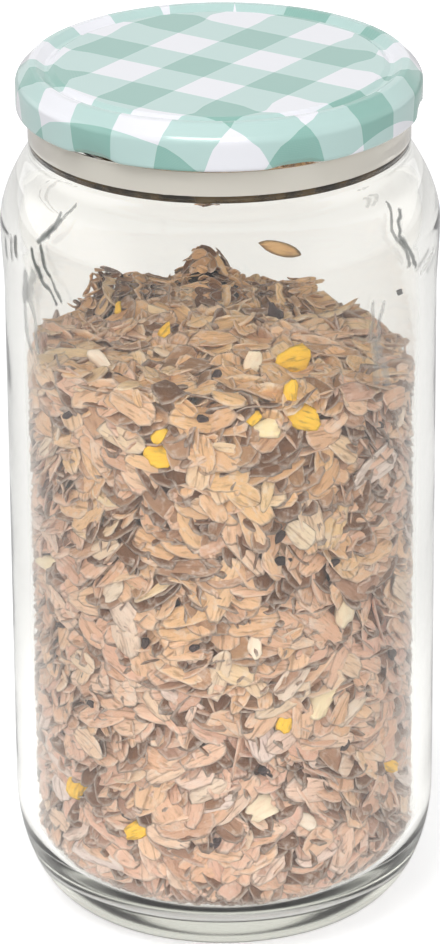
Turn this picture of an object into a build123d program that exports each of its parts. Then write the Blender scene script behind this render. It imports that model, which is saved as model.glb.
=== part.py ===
from build123d import *
import os
from math import atan, cos, degrees, floor, hypot, pi, radians, sin, sqrt, tan

# Storage jar: a tall round glass jar with a six lug twist off lid, three quarters full of rolled oats.
# Millimetres, +Z up. The origin is the centre of the jar's foot, on the surface that it stands on.
# The front, which the photograph shows, looks along +Y, so it is the side at -Y.

# Glass body
body_radius = 46.0
wall = 4.0
base_thickness = 8.0
push_up = 3.0
bearing_width = 4.0
heel_depth = 12.9
heel_height = 25.0
inner_heel_depth = 12.0
inner_heel_height = 21.0
body_height = 140.0
bulge = 0.6
bulge_rise = 15.5
shoulder_rise = 16.5

# Glass neck and finish
finish_radius = 39.2
lip_wall = 3.6
lip_round = 0.7
neck_ring_step = 1.2
neck_ring_height = 7.7
neck_ring_chamfer = 0.85
finish_height = 7.5
bore_depth = 14.5
inner_shoulder_rise = 22.0

# Glass threads
lug_count = 6
thread_depth = 1.3
thread_root = 1.8
thread_crest = 0.8
thread_rise = 1.9
thread_span_angle = 40.0
thread_sink = 0.4
thread_play = 0.2

# Lid, pressed from one sheet
sheet = 0.25
lid_depth = 9.7
lid_clearance = 2.0
skirt_shoulder_width = 2.95
skirt_shoulder_drop = 3.5
skirt_break_width = 0.55
upper_shoulder_drop = 2.4
crown_flat = 1.4
crown_slope_width = 1.8
groove_drop = 1.3
groove_width = 0.8
step_width = 1.2
panel_drop = 0.5
crown_bend = 1.1
groove_bend = 0.45
skirt_bend = 1.6
curl_radius = 0.9
curl_angle = 285.0
lug_width = 8.0
lug_thickness = 1.2
lug_lift = 0.5
lug_clearance = 0.45
lug_root = 1.1
first_lug_angle = -68.0

# Sealing ring in the lid's channel
seal_thickness = 1.55
seal_clearance = 0.15
seat_gap = 0.1

# Rolled oats and what is mixed into them
bed_gap = 4.0
heap_gap = 2.0
bed_rest_gap = 0.1
fill_height = 121.0
heap_rise = 3.0
flake_length = 8.6
flake_width = 6.0
flake_thickness = 0.9
flake_spacing = 8.95
flake_row_spacing = 6.3
flake_lean_angle = 13.0
flake_top_clearance = 0.5
heel_row_height = 14.0
top_flake_gap = 0.3
top_flake_spacing = 8.95
top_ring_spacing = 6.35
top_lean_angle = 16.0
bit_length = 5.0
bit_width = 4.2
bit_thickness = 1.3
seed_length = 3.8
seed_width = 2.6
seed_thickness = 1.1
husk_length = 8.2
husk_width = 2.4
husk_thickness = 0.35
cling_gap = 0.35
cling_angle = -72.0
cling_tilt_angle = -12.0

# Overrun of cutting shapes, and the step that slopes are measured over
overrun = 1.0
slope_step = 1.0

# Places that follow from the sizes above
inner_radius = body_radius - wall
shoulder_radius = body_radius + bulge
bulge_z = body_height + bulge_rise
neck_base_z = bulge_z + shoulder_rise
ring_top_z = neck_base_z + neck_ring_height
finish_base_z = ring_top_z + neck_ring_chamfer
rim_z = finish_base_z + finish_height
neck_ring_radius = finish_radius + neck_ring_step
bore_radius = finish_radius - lip_wall
bore_base_z = rim_z - bore_depth
inner_shoulder_z = bore_base_z - inner_shoulder_rise
thread_radius = finish_radius + thread_depth
seal_bottom_z = rim_z + seat_gap
lid_top_z = seal_bottom_z + seal_thickness + seal_clearance + sheet
lid_bottom_z = lid_top_z - lid_depth
lid_radius = thread_radius + lid_clearance + sheet
lug_tip_radius = finish_radius + lug_clearance
lug_top_z = lid_bottom_z + lug_lift + lug_thickness
bed_radius = inner_radius - bed_gap
bed_bottom_z = base_thickness + bed_rest_gap
fill_z = base_thickness + fill_height
lug_pitch = 360 / lug_count

# The ogee of the shoulder, as shares of its rise and of its step in radius
shoulder_shares = ((0.28, 0.89), (0.52, 0.66), (0.73, 0.38), (0.88, 0.14))
inner_shoulder_shares = ((0.30, 0.90), (0.60, 0.60), (0.85, 0.18))

# Cross-section shares of the thread along its length: length, width and depth
thread_end_shares = ((0.0, 0.35, 0.3), (0.1, 0.8, 0.85), (0.3, 1.0, 1.0))
thread_shares = thread_end_shares + tuple((1 - a, w, d) for a, w, d in reversed(thread_end_shares))

# The heap's form, as shares of its rise: a bowl across, slopes across and away, and their twist,
# then two soft waves, each with its height and how fast it turns across and away
heap_tilt_shares = (0.7, -1.1, -0.55, -0.8)
heap_wave_shares = (0.35, 5.1, 1.2, 4.3)
heap_ripple_shares = (0.22, 8.3, 3.1)
heap_clear_share = 4
heap_grid_count = 13

# Where the single husk clings, as a share of the inner shoulder's length, and how grains are turned
cling_share = 0.55
turn_share = 0.618
flake_edge_share = 0.82
bit_edge_share = 0.7
seed_edge_share = 0.6


def rz(points):
    """Turn pairs of radius and height into points of a half section."""
    return [Vector(r, z) for r, z in points]


def turned(lines):
    """Close the lines to a half section and turn it about the jar's axis."""
    return revolve(Plane.XZ * make_face(lines), axis=Axis.Z)


def polar(radius, angle, height=0.0):
    """The place at a radius, an angle from +X in degrees, and a height."""
    return Vector(radius * cos(radians(angle)), radius * sin(radians(angle)), height)


def quarter_ellipse(wide_radius, foot_z, depth, height):
    """The heel from its foot, where it is level, up to the wall, where it is upright."""
    return EllipticalCenterArc((wide_radius - depth, foot_z + height), depth, height, 270, arc_size=90)


def jar_outside():
    """The outer half section, from the push up to the rim's crest."""
    bearing_out = body_radius - heel_depth
    bearing_in = bearing_out - bearing_width
    step = shoulder_radius - neck_ring_radius
    ogee = [(neck_ring_radius + step * out, bulge_z + shoulder_rise * up) for up, out in shoulder_shares]
    waist = [(body_radius, body_height), (shoulder_radius, bulge_z)]
    neck = [(neck_ring_radius, neck_base_z), (neck_ring_radius, ring_top_z)]
    lip = [(finish_radius, rim_z - lip_round), (finish_radius - lip_wall / 2, rim_z)]
    up = (0, 1)
    return [
        RadiusArc((0, push_up), (bearing_in, 0), 2 * bearing_in * bearing_in / push_up),
        Line((bearing_in, 0), (bearing_out, 0)),
        quarter_ellipse(body_radius, 0, heel_depth, heel_height),
        Line((body_radius, heel_height), (body_radius, body_height)),
        Spline(rz(waist), tangents=[up, up]),
        Spline(rz([waist[1], *ogee, neck[0]]), tangents=[up, up]),
        Line(neck[0], neck[1]),
        Line(neck[1], (finish_radius, finish_base_z)),
        Line((finish_radius, finish_base_z), lip[0]),
        Spline(rz(lip), tangents=[up, (-1, 0)]),
    ]


def inner_shoulder():
    """The inner shoulder's line, from the straight wall up to the bore."""
    step = inner_radius - bore_radius
    rise = inner_shoulder_rise
    ogee = [(bore_radius + step * out, inner_shoulder_z + rise * up) for up, out in inner_shoulder_shares]
    line = [(inner_radius, inner_shoulder_z), *ogee, (bore_radius, bore_base_z)]
    return Spline(rz(line), tangents=[(0, 1), (0, 1)])


def jar_inside():
    """The inner half section, from the rim's crest down to the middle of the bottom."""
    crest = (finish_radius - lip_wall / 2, rim_z)
    lip = (bore_radius, rim_z - lip_round)
    return [
        Spline(rz([lip, crest]), tangents=[(0, 1), (1, 0)]),
        Line((bore_radius, bore_base_z), lip),
        inner_shoulder(),
        Line((inner_radius, base_thickness + inner_heel_height), (inner_radius, inner_shoulder_z)),
        quarter_ellipse(inner_radius, base_thickness, inner_heel_depth, inner_heel_height),
        Line((0, base_thickness), (inner_radius - inner_heel_depth, base_thickness)),
    ]


def thread_section(angle, centre_z, width_share, depth_share):
    """One cross section of a thread: a trapezoid in the plane that holds the jar's axis."""
    foot = finish_radius - thread_sink
    crest = finish_radius + thread_depth * depth_share
    root_half = thread_root * width_share / 2
    crest_half = thread_crest * width_share / 2
    corners = [(foot, centre_z - root_half), (crest, centre_z - crest_half)]
    corners += [(crest, centre_z + crest_half), (foot, centre_z + root_half)]
    return make_face(Polyline(*[polar(r, angle, z) for r, z in corners], close=True))


def thread(start_angle):
    """One slanting thread, which rises as it runs to the right, seen from outside."""
    low_z = lug_top_z + thread_play + thread_root / 2
    sections = []
    for along, width, depth in thread_shares:
        angle = start_angle + thread_span_angle * along
        sections.append(thread_section(angle, low_z + thread_rise * along, width, depth))
    return loft(sections)


def jar_glass():
    """The jar: one piece of glass with its foot, body, shoulder, neck ring and threads."""
    glass = turned(jar_outside() + jar_inside() + [Line((0, push_up), (0, base_thickness))])
    for k in range(lug_count):
        gap_centre = first_lug_angle + lug_pitch * k
        glass += thread(gap_centre + (lug_pitch - thread_span_angle) / 2)
    return glass


def skin_corners(floor_z):
    """Corners of the lid's outer skin from the axis down the skirt to a floor, and their bends."""
    crown_out = lid_radius - skirt_shoulder_width
    crown_in = crown_out - crown_flat
    groove_out = crown_in - crown_slope_width
    groove_in = groove_out - groove_width
    panel_edge = groove_in - step_width
    groove_z = lid_top_z - groove_drop
    panel_z = lid_top_z - panel_drop
    skirt_z = lid_top_z - skirt_shoulder_drop
    corners = [
        (0, panel_z),
        (panel_edge, panel_z),
        (groove_in, groove_z),
        (groove_out, groove_z),
        (crown_in, lid_top_z),
        (crown_out, lid_top_z),
        (lid_radius - skirt_break_width, lid_top_z - upper_shoulder_drop),
        (lid_radius, skirt_z),
        (lid_radius, floor_z),
    ]
    bends = [groove_bend, -groove_bend, -groove_bend, crown_bend, crown_bend, skirt_bend, skirt_bend]
    return corners, bends


def inset(corners, depth):
    """Move each side of an open outline inwards by a depth, and meet the sides again at the corners."""
    sides = []
    for (r0, z0), (r1, z1) in zip(corners, corners[1:]):
        run = hypot(r1 - r0, z1 - z0)
        shift_r, shift_z = (z1 - z0) / run * depth, -(r1 - r0) / run * depth
        sides.append(((r0 + shift_r, z0 + shift_z), (r1 + shift_r, z1 + shift_z)))
    moved = [sides[0][0]]
    for (a, b), (c, d) in zip(sides, sides[1:]):
        first = Vector(b[0] - a[0], b[1] - a[1])
        second = Vector(d[0] - c[0], d[1] - c[1])
        between = Vector(c[0] - a[0], c[1] - a[1])
        share = between.cross(second).Z / first.cross(second).Z
        moved.append((a[0] + first.X * share, a[1] + first.Y * share))
    moved.append(sides[-1][1])
    return moved


def under_skin(depth, floor_z):
    """The half section below the skin at a depth in the sheet, closed at the axis and at a floor."""
    corners, bends = skin_corners(floor_z)
    moved = inset(corners, depth)
    radii = [max(bend - depth, 0) if bend > 0 else depth - bend for bend in bends]
    top = FilletPolyline(*rz(moved), radius=radii)
    return make_face([top, Polyline(moved[-1], (moved[0][0], floor_z), moved[0])])


def curl():
    """The rolled edge of the skirt: the sheet turns in and up into itself."""
    centre = (lid_radius - curl_radius, lid_bottom_z + curl_radius)
    outer = CenterArc(centre, curl_radius, 0, -curl_angle)
    inner = CenterArc(centre, curl_radius - sheet, 0, -curl_angle)
    ends = [Line(outer @ 0, inner @ 0), Line(outer @ 1, inner @ 1)]
    return turned([outer, inner, *ends])


def lug(angle):
    """One lug: the curl pressed flat and pushed in under the glass thread."""
    reach = lid_radius - lug_root
    middle_z = lug_top_z - lug_thickness / 2
    ring = Cylinder(reach, lug_thickness) - Cylinder(lug_tip_radius, lug_thickness)
    bar = Box(lid_radius, lug_width, lug_thickness, align=(Align.MIN, Align.CENTER, Align.CENTER))
    return Pos(0, 0, middle_z) * Rot(0, 0, angle) * (ring & bar)


def lid_shell():
    """The lid: one pressed sheet with a raised panel, a groove, a crown, a skirt, a curl and lugs."""
    floor_z = lid_bottom_z + curl_radius
    shell = revolve(Plane.XZ * (under_skin(0, floor_z) - under_skin(sheet, floor_z - overrun)), axis=Axis.Z)
    shell += curl()
    for k in range(lug_count):
        shell += lug(first_lug_angle + lug_pitch * k)
    return shell


def sealing_ring():
    """The soft ring that fills the channel under the crown and sits on the jar's rim."""
    corners, _ = skin_corners(lid_bottom_z)
    inner_edge = corners[3][0] + sheet + seal_clearance
    outer_edge = corners[6][0] - sheet - seal_clearance
    height = seal_thickness + overrun
    middle = ((inner_edge + outer_edge) / 2, seal_bottom_z + height / 2)
    band = Pos(*middle) * Rectangle(outer_edge - inner_edge, height)
    section = under_skin(sheet + seal_clearance, lid_bottom_z) & band
    return revolve(Plane.XZ * section, axis=Axis.Z)


def heap_height(x, y):
    """Height of the oats at a place: higher at the left, lower at the back right, in soft waves."""
    across = x / inner_radius
    away = y / inner_radius
    bowl, slope_across, slope_away, twist = heap_tilt_shares
    tilt = bowl * across * across + slope_across * across + slope_away * away + twist * across * away
    wave, wave_across, wave_start, wave_away = heap_wave_shares
    waves = wave * sin(wave_across * across + wave_start) * cos(wave_away * away)
    ripple, ripple_away, ripple_across = heap_ripple_shares
    ripples = ripple * sin(ripple_away * away + ripple_across * across)
    return fill_z + heap_rise * (tilt + waves + ripples)


def heap_surface(reach, count):
    """The top of the oats as one smooth face over a square."""
    steps = [reach * (2 * k / (count - 1) - 1) for k in range(count)]
    grid = [[Vector(x, y, heap_height(x, y)) for y in steps] for x in steps]
    return Face.make_surface_from_array_of_points(grid)


def oat_bed():
    """The oats as one mass: the inside of the jar, a flake's room smaller, cut off at the heap."""
    top_z = fill_z + heap_clear_share * heap_rise
    depth = inner_heel_depth - bed_gap / 2
    height = inner_heel_height - bed_gap / 2
    mass = turned([
        Line((0, bed_bottom_z), (bed_radius - depth, bed_bottom_z)),
        quarter_ellipse(bed_radius, bed_bottom_z, depth, height),
        Line((bed_radius, bed_bottom_z + height), (bed_radius, top_z)),
        Line((bed_radius, top_z), (0, top_z)),
        Line((0, top_z), (0, bed_bottom_z)),
    ])
    above = Pos(0, 0, -heap_gap) * heap_surface(body_radius, heap_grid_count)
    return mass - extrude(above, amount=2 * heap_clear_share * heap_rise, dir=(0, 0, 1))


def pressed_oval(length, width, thickness, edge_share):
    """A flat oval grain with its rim rolled thin, lying level about its own centre."""
    sections = []
    for height, size in ((-0.5, edge_share), (0, 1), (0.5, edge_share)):
        sections.append(Pos(0, 0, thickness * height) * Ellipse(length / 2 * size, width / 2 * size))
    return loft(sections, ruled=True)


def leaf(length, width, thickness):
    """A husk: a flat leaf, pointed at both ends."""
    tips = [(-length / 2, 0), (length / 2, 0)]
    upper = ThreePointArc(tips[0], (0, width / 2), tips[1])
    lower = ThreePointArc(tips[0], (0, -width / 2), tips[1])
    return extrude(make_face([upper, lower]), amount=thickness / 2, both=True)


def spread(index, stretch):
    """A fixed scatter value from 0 to 1 for each index, from the fraction of a multiple."""
    value = (index + 1) * stretch
    return value - floor(value)


def wall_places():
    """Cells round the bed where one grain each leans on the glass: angle, height and index."""
    middle = inner_radius - bed_gap / 2
    columns = floor(2 * pi * middle / flake_spacing)
    lowest = base_thickness + heel_row_height
    highest = fill_z + heap_clear_share * heap_rise
    rows = floor((highest - lowest) / flake_row_spacing) + 1
    reach = flake_length / 2 + heap_gap + flake_top_clearance
    places = []
    for row in range(rows):
        for column in range(columns):
            angle = 360 * (column + 0.5 * (row % 2)) / columns
            height = lowest + flake_row_spacing * row
            place = polar(middle, angle)
            if height + reach < heap_height(place.X, place.Y):
                places.append((angle, height, row * columns + column))
    return places


def wall_line(height):
    """Radius of the inner glass at a height, and how far it slopes out there for each step up."""
    below = max(base_thickness + inner_heel_height - height, 0) / inner_heel_height
    level = sqrt(1 - below * below)
    radius = inner_radius - inner_heel_depth * (1 - level)
    return radius, inner_heel_depth / inner_heel_height * below / level


def against_wall(grain, angle, height, index):
    """Stand a level grain along the glass, its foot leaning out over the row below, turned in its own plane."""
    radius, slope = wall_line(height)
    lean = flake_lean_angle - degrees(atan(slope))
    outward = polar(cos(radians(lean)), angle, sin(radians(lean)))
    upright = Plane(origin=polar(radius - bed_gap / 2, angle, height), z_dir=outward)
    return upright * Rot(0, 0, 360 * spread(index, turn_share)) * grain


def kind_of(index):
    """What stands in a cell: mostly flakes, now and then a yellow bit, a dark seed or a husk."""
    if index % 17 == 4:
        return "bit"
    if index % 23 == 9:
        return "seed"
    if index % 29 == 13:
        return "husk"
    return "flake"


def wall_grains(kind, grain):
    """All grains of one kind that stand against the glass."""
    return [against_wall(grain, a, z, i) for a, z, i in wall_places() if kind_of(i) == kind]


def flake():
    """One rolled oat flake."""
    return pressed_oval(flake_length, flake_width, flake_thickness, flake_edge_share)


def heap_flakes():
    """Flakes that lie on the heap in rings, each ring leaning out over the next one, level with the heap otherwise."""
    grain = flake()
    widest = inner_radius - bed_gap / 2 - flake_length / 2
    rings = floor(widest / top_ring_spacing)
    lift = (flake_length * sin(radians(top_lean_angle)) + flake_thickness) / 2 + top_flake_gap - heap_gap
    flakes = []
    for ring in range(rings):
        radius = widest - top_ring_spacing * ring
        count = floor(2 * pi * radius / top_flake_spacing)
        for k in range(count):
            angle = 360 * (k + spread(ring, turn_share)) / count
            place = polar(radius, angle)
            x, y = place.X, place.Y
            rise_x = heap_height(x + slope_step, y) - heap_height(x - slope_step, y)
            rise_y = heap_height(x, y + slope_step) - heap_height(x, y - slope_step)
            level = Vector(-rise_x, -rise_y, 2 * slope_step).normalized()
            normal = level + polar(tan(radians(top_lean_angle)), angle)
            centre = Vector(x, y, heap_height(x, y)) + level * lift
            lying = Plane(origin=centre, z_dir=normal.normalized())
            flakes.append(lying * Rot(0, 0, 360 * spread(k + count, turn_share)) * grain)
    return flakes


def clinging_husk():
    """A single husk that clings to the glass inside the shoulder, at the front."""
    line = inner_shoulder()
    place = line @ cling_share
    along = line % cling_share
    inward = husk_thickness / 2 + cling_gap
    radius = place.X - inward * along.Y
    height = place.Y + inward * along.X
    outward = polar(along.Y, cling_angle, -along.X)
    sideways = polar(1, cling_angle + 90)
    facing = Plane(origin=polar(radius, cling_angle, height), x_dir=sideways, z_dir=outward)
    return facing * Rot(0, 0, cling_tilt_angle) * leaf(husk_length, husk_width, husk_thickness)


def keep(name, shape):
    """Write one piece, or a group of loose pieces, to its own file."""
    solids = shape if isinstance(shape, list) else [shape]
    export_step(Compound(children=solids) if len(solids) > 1 else solids[0], f"parts/{name}.step")


os.makedirs("parts", exist_ok=True)
keep("jar_glass", jar_glass())
keep("lid_shell", lid_shell())
keep("sealing_ring", sealing_ring())
keep("oat_bed", oat_bed())
keep("oat_flakes_wall", wall_grains("flake", flake()))
keep("oat_flakes_heap", heap_flakes())
keep("yellow_bits", wall_grains("bit", pressed_oval(bit_length, bit_width, bit_thickness, bit_edge_share)))
keep("dark_seeds", wall_grains("seed", pressed_oval(seed_length, seed_width, seed_thickness, seed_edge_share)))
keep("pale_husks", wall_grains("husk", leaf(husk_length, husk_width, husk_thickness)))
keep("clinging_husk", clinging_husk())
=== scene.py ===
"""A tall glass storage jar with a gingham twist off lid, filled with rolled oats.

Metres, +Z up. The jar stands on z = 0 about the Z axis, and the photograph looks along +Y.
Sizes are written in millimetres, times MM. Colours are written as a picture shows them, from 0 to 255.
"""
import math

import bpy
import numpy as np
from bpy.props import FloatProperty, FloatVectorProperty, IntProperty, PointerProperty
from mathutils import Matrix, Vector


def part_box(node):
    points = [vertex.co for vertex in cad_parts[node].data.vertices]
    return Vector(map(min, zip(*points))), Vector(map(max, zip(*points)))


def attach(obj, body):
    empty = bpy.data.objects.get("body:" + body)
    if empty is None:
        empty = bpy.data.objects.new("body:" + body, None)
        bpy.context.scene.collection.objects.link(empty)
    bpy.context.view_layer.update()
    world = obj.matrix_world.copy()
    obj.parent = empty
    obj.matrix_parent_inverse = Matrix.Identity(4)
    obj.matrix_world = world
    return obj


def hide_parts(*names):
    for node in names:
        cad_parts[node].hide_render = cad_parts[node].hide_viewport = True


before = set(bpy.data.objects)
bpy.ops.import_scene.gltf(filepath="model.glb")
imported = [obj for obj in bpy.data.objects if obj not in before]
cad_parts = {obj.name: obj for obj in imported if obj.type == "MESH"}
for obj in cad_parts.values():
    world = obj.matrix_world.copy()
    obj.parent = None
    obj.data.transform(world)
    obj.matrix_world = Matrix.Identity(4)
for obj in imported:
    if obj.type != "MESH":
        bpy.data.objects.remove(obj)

bl_info = {
    "name": "Oat jar",
    "version": (1, 0, 0),
    "blender": (4, 5, 0),
    "location": "View3D > Sidebar > Oat jar",
    "description": "Builds a glass storage jar of rolled oats with a gingham lid",
    "category": "Object",
}

MM = 0.001
PICTURE_WIDTH = 440
PICTURE_HEIGHT = 944
SENSOR = 36.0
UP = np.array([0.0, 0.0, 1.0])
UPWARDS = (0, 1)

# Where the jar's frame puts its pieces
_, (BULGE_RADIUS, _, RIM_Z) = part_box("jar_glass")
(_, _, LID_BOTTOM_Z), (LID_RADIUS, _, LID_TOP_Z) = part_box("lid_shell")

# Heights under the rim: the band of the threads, the seam's end on the neck, and the neck ring's foot
THREADS_DOWN = (0.8 * MM, 7.5 * MM)
SEAM_END_DOWN = 8 * MM
RING_FOOT_DOWN = 16.05 * MM
# The seam on the body: heights over which it fades in, and its share of the height on the neck ring
SEAM_ON_BODY = (20 * MM, 30 * MM, 0.12)
# How far from the bottom and the rim the inner wall stays even, and how high it is fully uneven
EVEN_ENDS = 2 * MM
UNEVEN_FROM = 30 * MM
# Heights over which the glass of the base turns rough, and how rough it is
ROUGH_BASE = (15 * MM, 8 * MM, 0.11)

# The outer shoulder between its widest line and the neck: shares of the way up and of the way out
OGEE = ((0.28, 0.89), (0.52, 0.66), (0.73, 0.38), (0.88, 0.14))

# Places of single grains in the photograph: x, y and size in pixels
YELLOW_BITS_PX = (
    (116, 305, 14), (165, 328, 18), (292, 357, 38), (289, 388, 20), (252, 415, 17), (303, 416, 34),
    (161, 433, 17), (160, 455, 29), (81, 783, 29), (139, 827, 26), (384, 763, 17), (283, 721, 20),
)
PALE_CHIPS_PX = (
    (101, 357, 26), (252, 360, 28), (267, 426, 30), (254, 644, 24), (261, 806, 38), (303, 818, 26),
    (320, 700, 40), (52, 560, 24), (340, 610, 30),
)
DARK_SEEDS_PX = (
    (121, 374, 11), (216, 373, 14), (203, 416, 12), (276, 311, 22), (74, 412, 12), (372, 422, 11),
    (278, 534, 14), (281, 558, 16), (384, 651, 12), (195, 645, 11), (264, 769, 15), (216, 840, 14),
    (132, 813, 12), (148, 640, 12), (330, 560, 12), (96, 700, 12), (340, 742, 13), (68, 622, 10),
)

# Kinds of grains: places in the photograph, width and thickness over length, how many lie behind and half their
# length in millimetres; then the piece, the node that it stands for, its slot, five colours and how pointed it is
GRAIN_KINDS = (
    (YELLOW_BITS_PX, 0.74, 0.2, 9, 2.7, "maize_bits", "yellow_bits", "maize", "maize maize maize maize brown", 0.0),
    (PALE_CHIPS_PX, 0.62, 0.16, 7, 3.0, "oat_chips", "pale_husks", "husk", "chip chip cream cream tan", 0.2),
    (DARK_SEEDS_PX, 0.6, 0.4, 11, 1.5, "seed_grains", "dark_seeds", "seed", "seed seed seed core core", 0.2),
)
# What clings to the glass: x, y and size in pixels, width and thickness over length, piece, colours, node
CLINGING = (
    (279, 249, 43, 0.3, 0.05, "husk_on_glass", "husk husk husk bran bran", "clinging_husk"),
    (390, 289, 10, 0.7, 0.3, "seed_on_glass", "core core core core core", None),
)
# Share of a turn by which the grains behind step, so that they spread evenly
GOLDEN = 0.618

# Distance along the lid's skin and where the flat print lay before the sheet was drawn, in millimetres
PRINT_DRAW = (
    (0, 0), (28, 28.4), (32.6, 30.8), (34, 34.4), (35, 36.4), (36, 37.7), (40, 38.2), (42, 39.5), (43, 41.1),
    (44, 41.9), (45, 42.9), (46, 44.2), (47, 45.0), (48, 45.6), (50, 46.8), (70, 62),
)
WEAVE_THREADS = 44
PRINT_CLOUD = (0.62, 0.70, 0.68, 1)
# Rows of the rolled edge that still carry the print
CURL_PRINTED = 7
# Heights over the lid's lower edge, in radii of the rolled edge, between which a lug fades in
LUG_FADE = (4.2, 0.6)

# Painted shade: dark streaks in the glass where its uneven surface would fold the light. Angle and height of both ends
# in degrees and millimetres, half width in millimetres, strength
PAINTED_SHADE_STREAKS = (
    (-139.2, 166.6, -141.6, 163.6, 0.7, 0.75), (-141.6, 163.6, -145.0, 160.0, 0.9, 0.9),
    (-147.3, 157.5, -142.2, 152.6, 1.0, 0.95), (-142.2, 152.6, -137.3, 148.0, 0.8, 0.85),
    (-150.6, 151.4, -153.3, 144.8, 1.7, 0.6), (-153.3, 144.8, -149.8, 134.2, 1.1, 0.5),
    (-164.6, 154.6, -164.0, 151.8, 1.6, 0.9),
    (-33.1, 165.1, -35.6, 160.7, 0.8, 0.85), (-35.6, 160.7, -29.4, 152.5, 0.9, 0.8),
    (-12.0, 151.0, -21.1, 149.0, 1.2, 0.4),
    (-43.5, 147.6, -45.4, 139.9, 1.0, 0.45), (-45.4, 139.9, -41.4, 129.6, 1.6, 0.4),
    (38.0, 162.0, 43.0, 154.0, 0.9, 0.3), (150.0, 160.0, 146.0, 150.0, 0.9, 0.3), (95.0, 158.0, 90.0, 151.0, 0.8, 0.3),
)

# The heap at the wall: angle in degrees, and height in millimetres above the front's
HEAP_RING = (
    (-180, -1.1), (-150, -0.1), (-120, 0.6), (-90, 0), (-50, -1.2), (-20, -3.1), (0, -5.1), (20, -5.9), (35, -4.4),
    (46, -6.6), (55, -5.2), (70, -5.0), (84, -4.6), (96, -4.2), (106, -6.2), (112, -3.8), (118, -1.8), (133, -1.6),
    (145, -1.8), (151, -4.4), (157, -2.2), (180, -1.1),
)
# Mounds on the heap: place across and away from the front, height and half width, in millimetres
HEAP_MOUNDS = ((-3.5, 34.5, 9.2, 7.2), (-25.0, 27.0, 2.2, 7.0), (16.0, 30.0, 1.2, 6.0))

# Cells across, deep and up in which flakes look for room, and cells below the foot
CELLS = (140, 140, 230)
CELLS_BELOW = 5
# Random points that keep a grain's place clear of flakes, and how far out they reach towards the camera
CLEAR_POINTS = 6000
CLEAR_WAY = 9 * MM
# How far a grain's middle stands in from where flakes touch, and how far out of the heap it may stand
GRAIN_INSET = 0.9 * MM
GRAIN_OUT = 0.5 * MM
# Grains behind: first angle and range in degrees, first height over the base, and how much less than the oats' height
BEHIND_TURNS = (5, 170)
BEHIND_HEIGHTS = (8 * MM, 22 * MM)
# Heights that part the flakes at the wall into three pieces
BANDS = (45 * MM, 88 * MM)
# The core's faces round and rows up its side, how high above the base it starts, and how deep under the heap it ends
CORE_GRID = (96, 60)
CORE_LIFT = 3 * MM
CORE_DOWN = 3.5 * MM
# Points round a grain and its rings from the upper pole to the lower one, as shares of its rim
FLAKE_GRID = (12, (0.5, 0.88, 1.0, 0.8))
HUSK_GRID = (20, (0.3, 0.65, 1.0, 0.65, 0.3))
# How flakes lean outwards, upwards and at random: behind the glass, deeper, in the core and on the heap
LEANS = ((1.0, 0.30, 0.14), (0.9, 0.5, 0.34), (0.5, 0.7, 0.5))
FLAT = (0.15, 0.9, 0.40)

# Lamps: place, width and height in metres, and which rays don't see them besides those through glass
LAMPS = {
    "key": ((-0.55, -0.65, 1.65), (1.2, 1.2), "visible_glossy"),
    "fill": ((0.9, -1.3, 0.8), (0.9, 1.3), "visible_glossy"),
    "strip": ((-0.15, -0.95, 1.10), (0.8, 0.42), "visible_diffuse"),
}
LAMP_AIM = Vector((0, 0, 0.1))
WINDOW_DIRECTION = (-0.06, -0.82, 0.56)
# How much brighter gloss sees the left and the right
HAZE_LEFT, HAZE_RIGHT = 1.1, 0.6


def size(description, millimetres):
    """A length that a user may change, with its default in millimetres."""
    return FloatProperty(description=description, default=millimetres * MM, precision=5, unit="LENGTH")


def share(description, value, unit="NONE"):
    """Another number that a user may change."""
    return FloatProperty(description=description, default=value, precision=3, unit=unit)


def count(description, value):
    """A whole number that a user may change."""
    return IntProperty(description=description, default=value, min=3)


def angle(description, degrees):
    """An angle that a user may change, with its default in degrees."""
    return FloatProperty(description=description, default=math.radians(degrees), subtype="ANGLE", unit="ROTATION")


def tint(description, *shown):
    """A colour that a user may change, with its default as a picture shows it."""
    shown = np.array(shown) / 255
    linear = np.where(shown <= 0.04045, shown / 12.92, ((shown + 0.055) / 1.055) ** 2.4)
    return FloatVectorProperty(description=description, default=(*linear, 1.0), size=4, min=0, max=1, subtype="COLOR")


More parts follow.
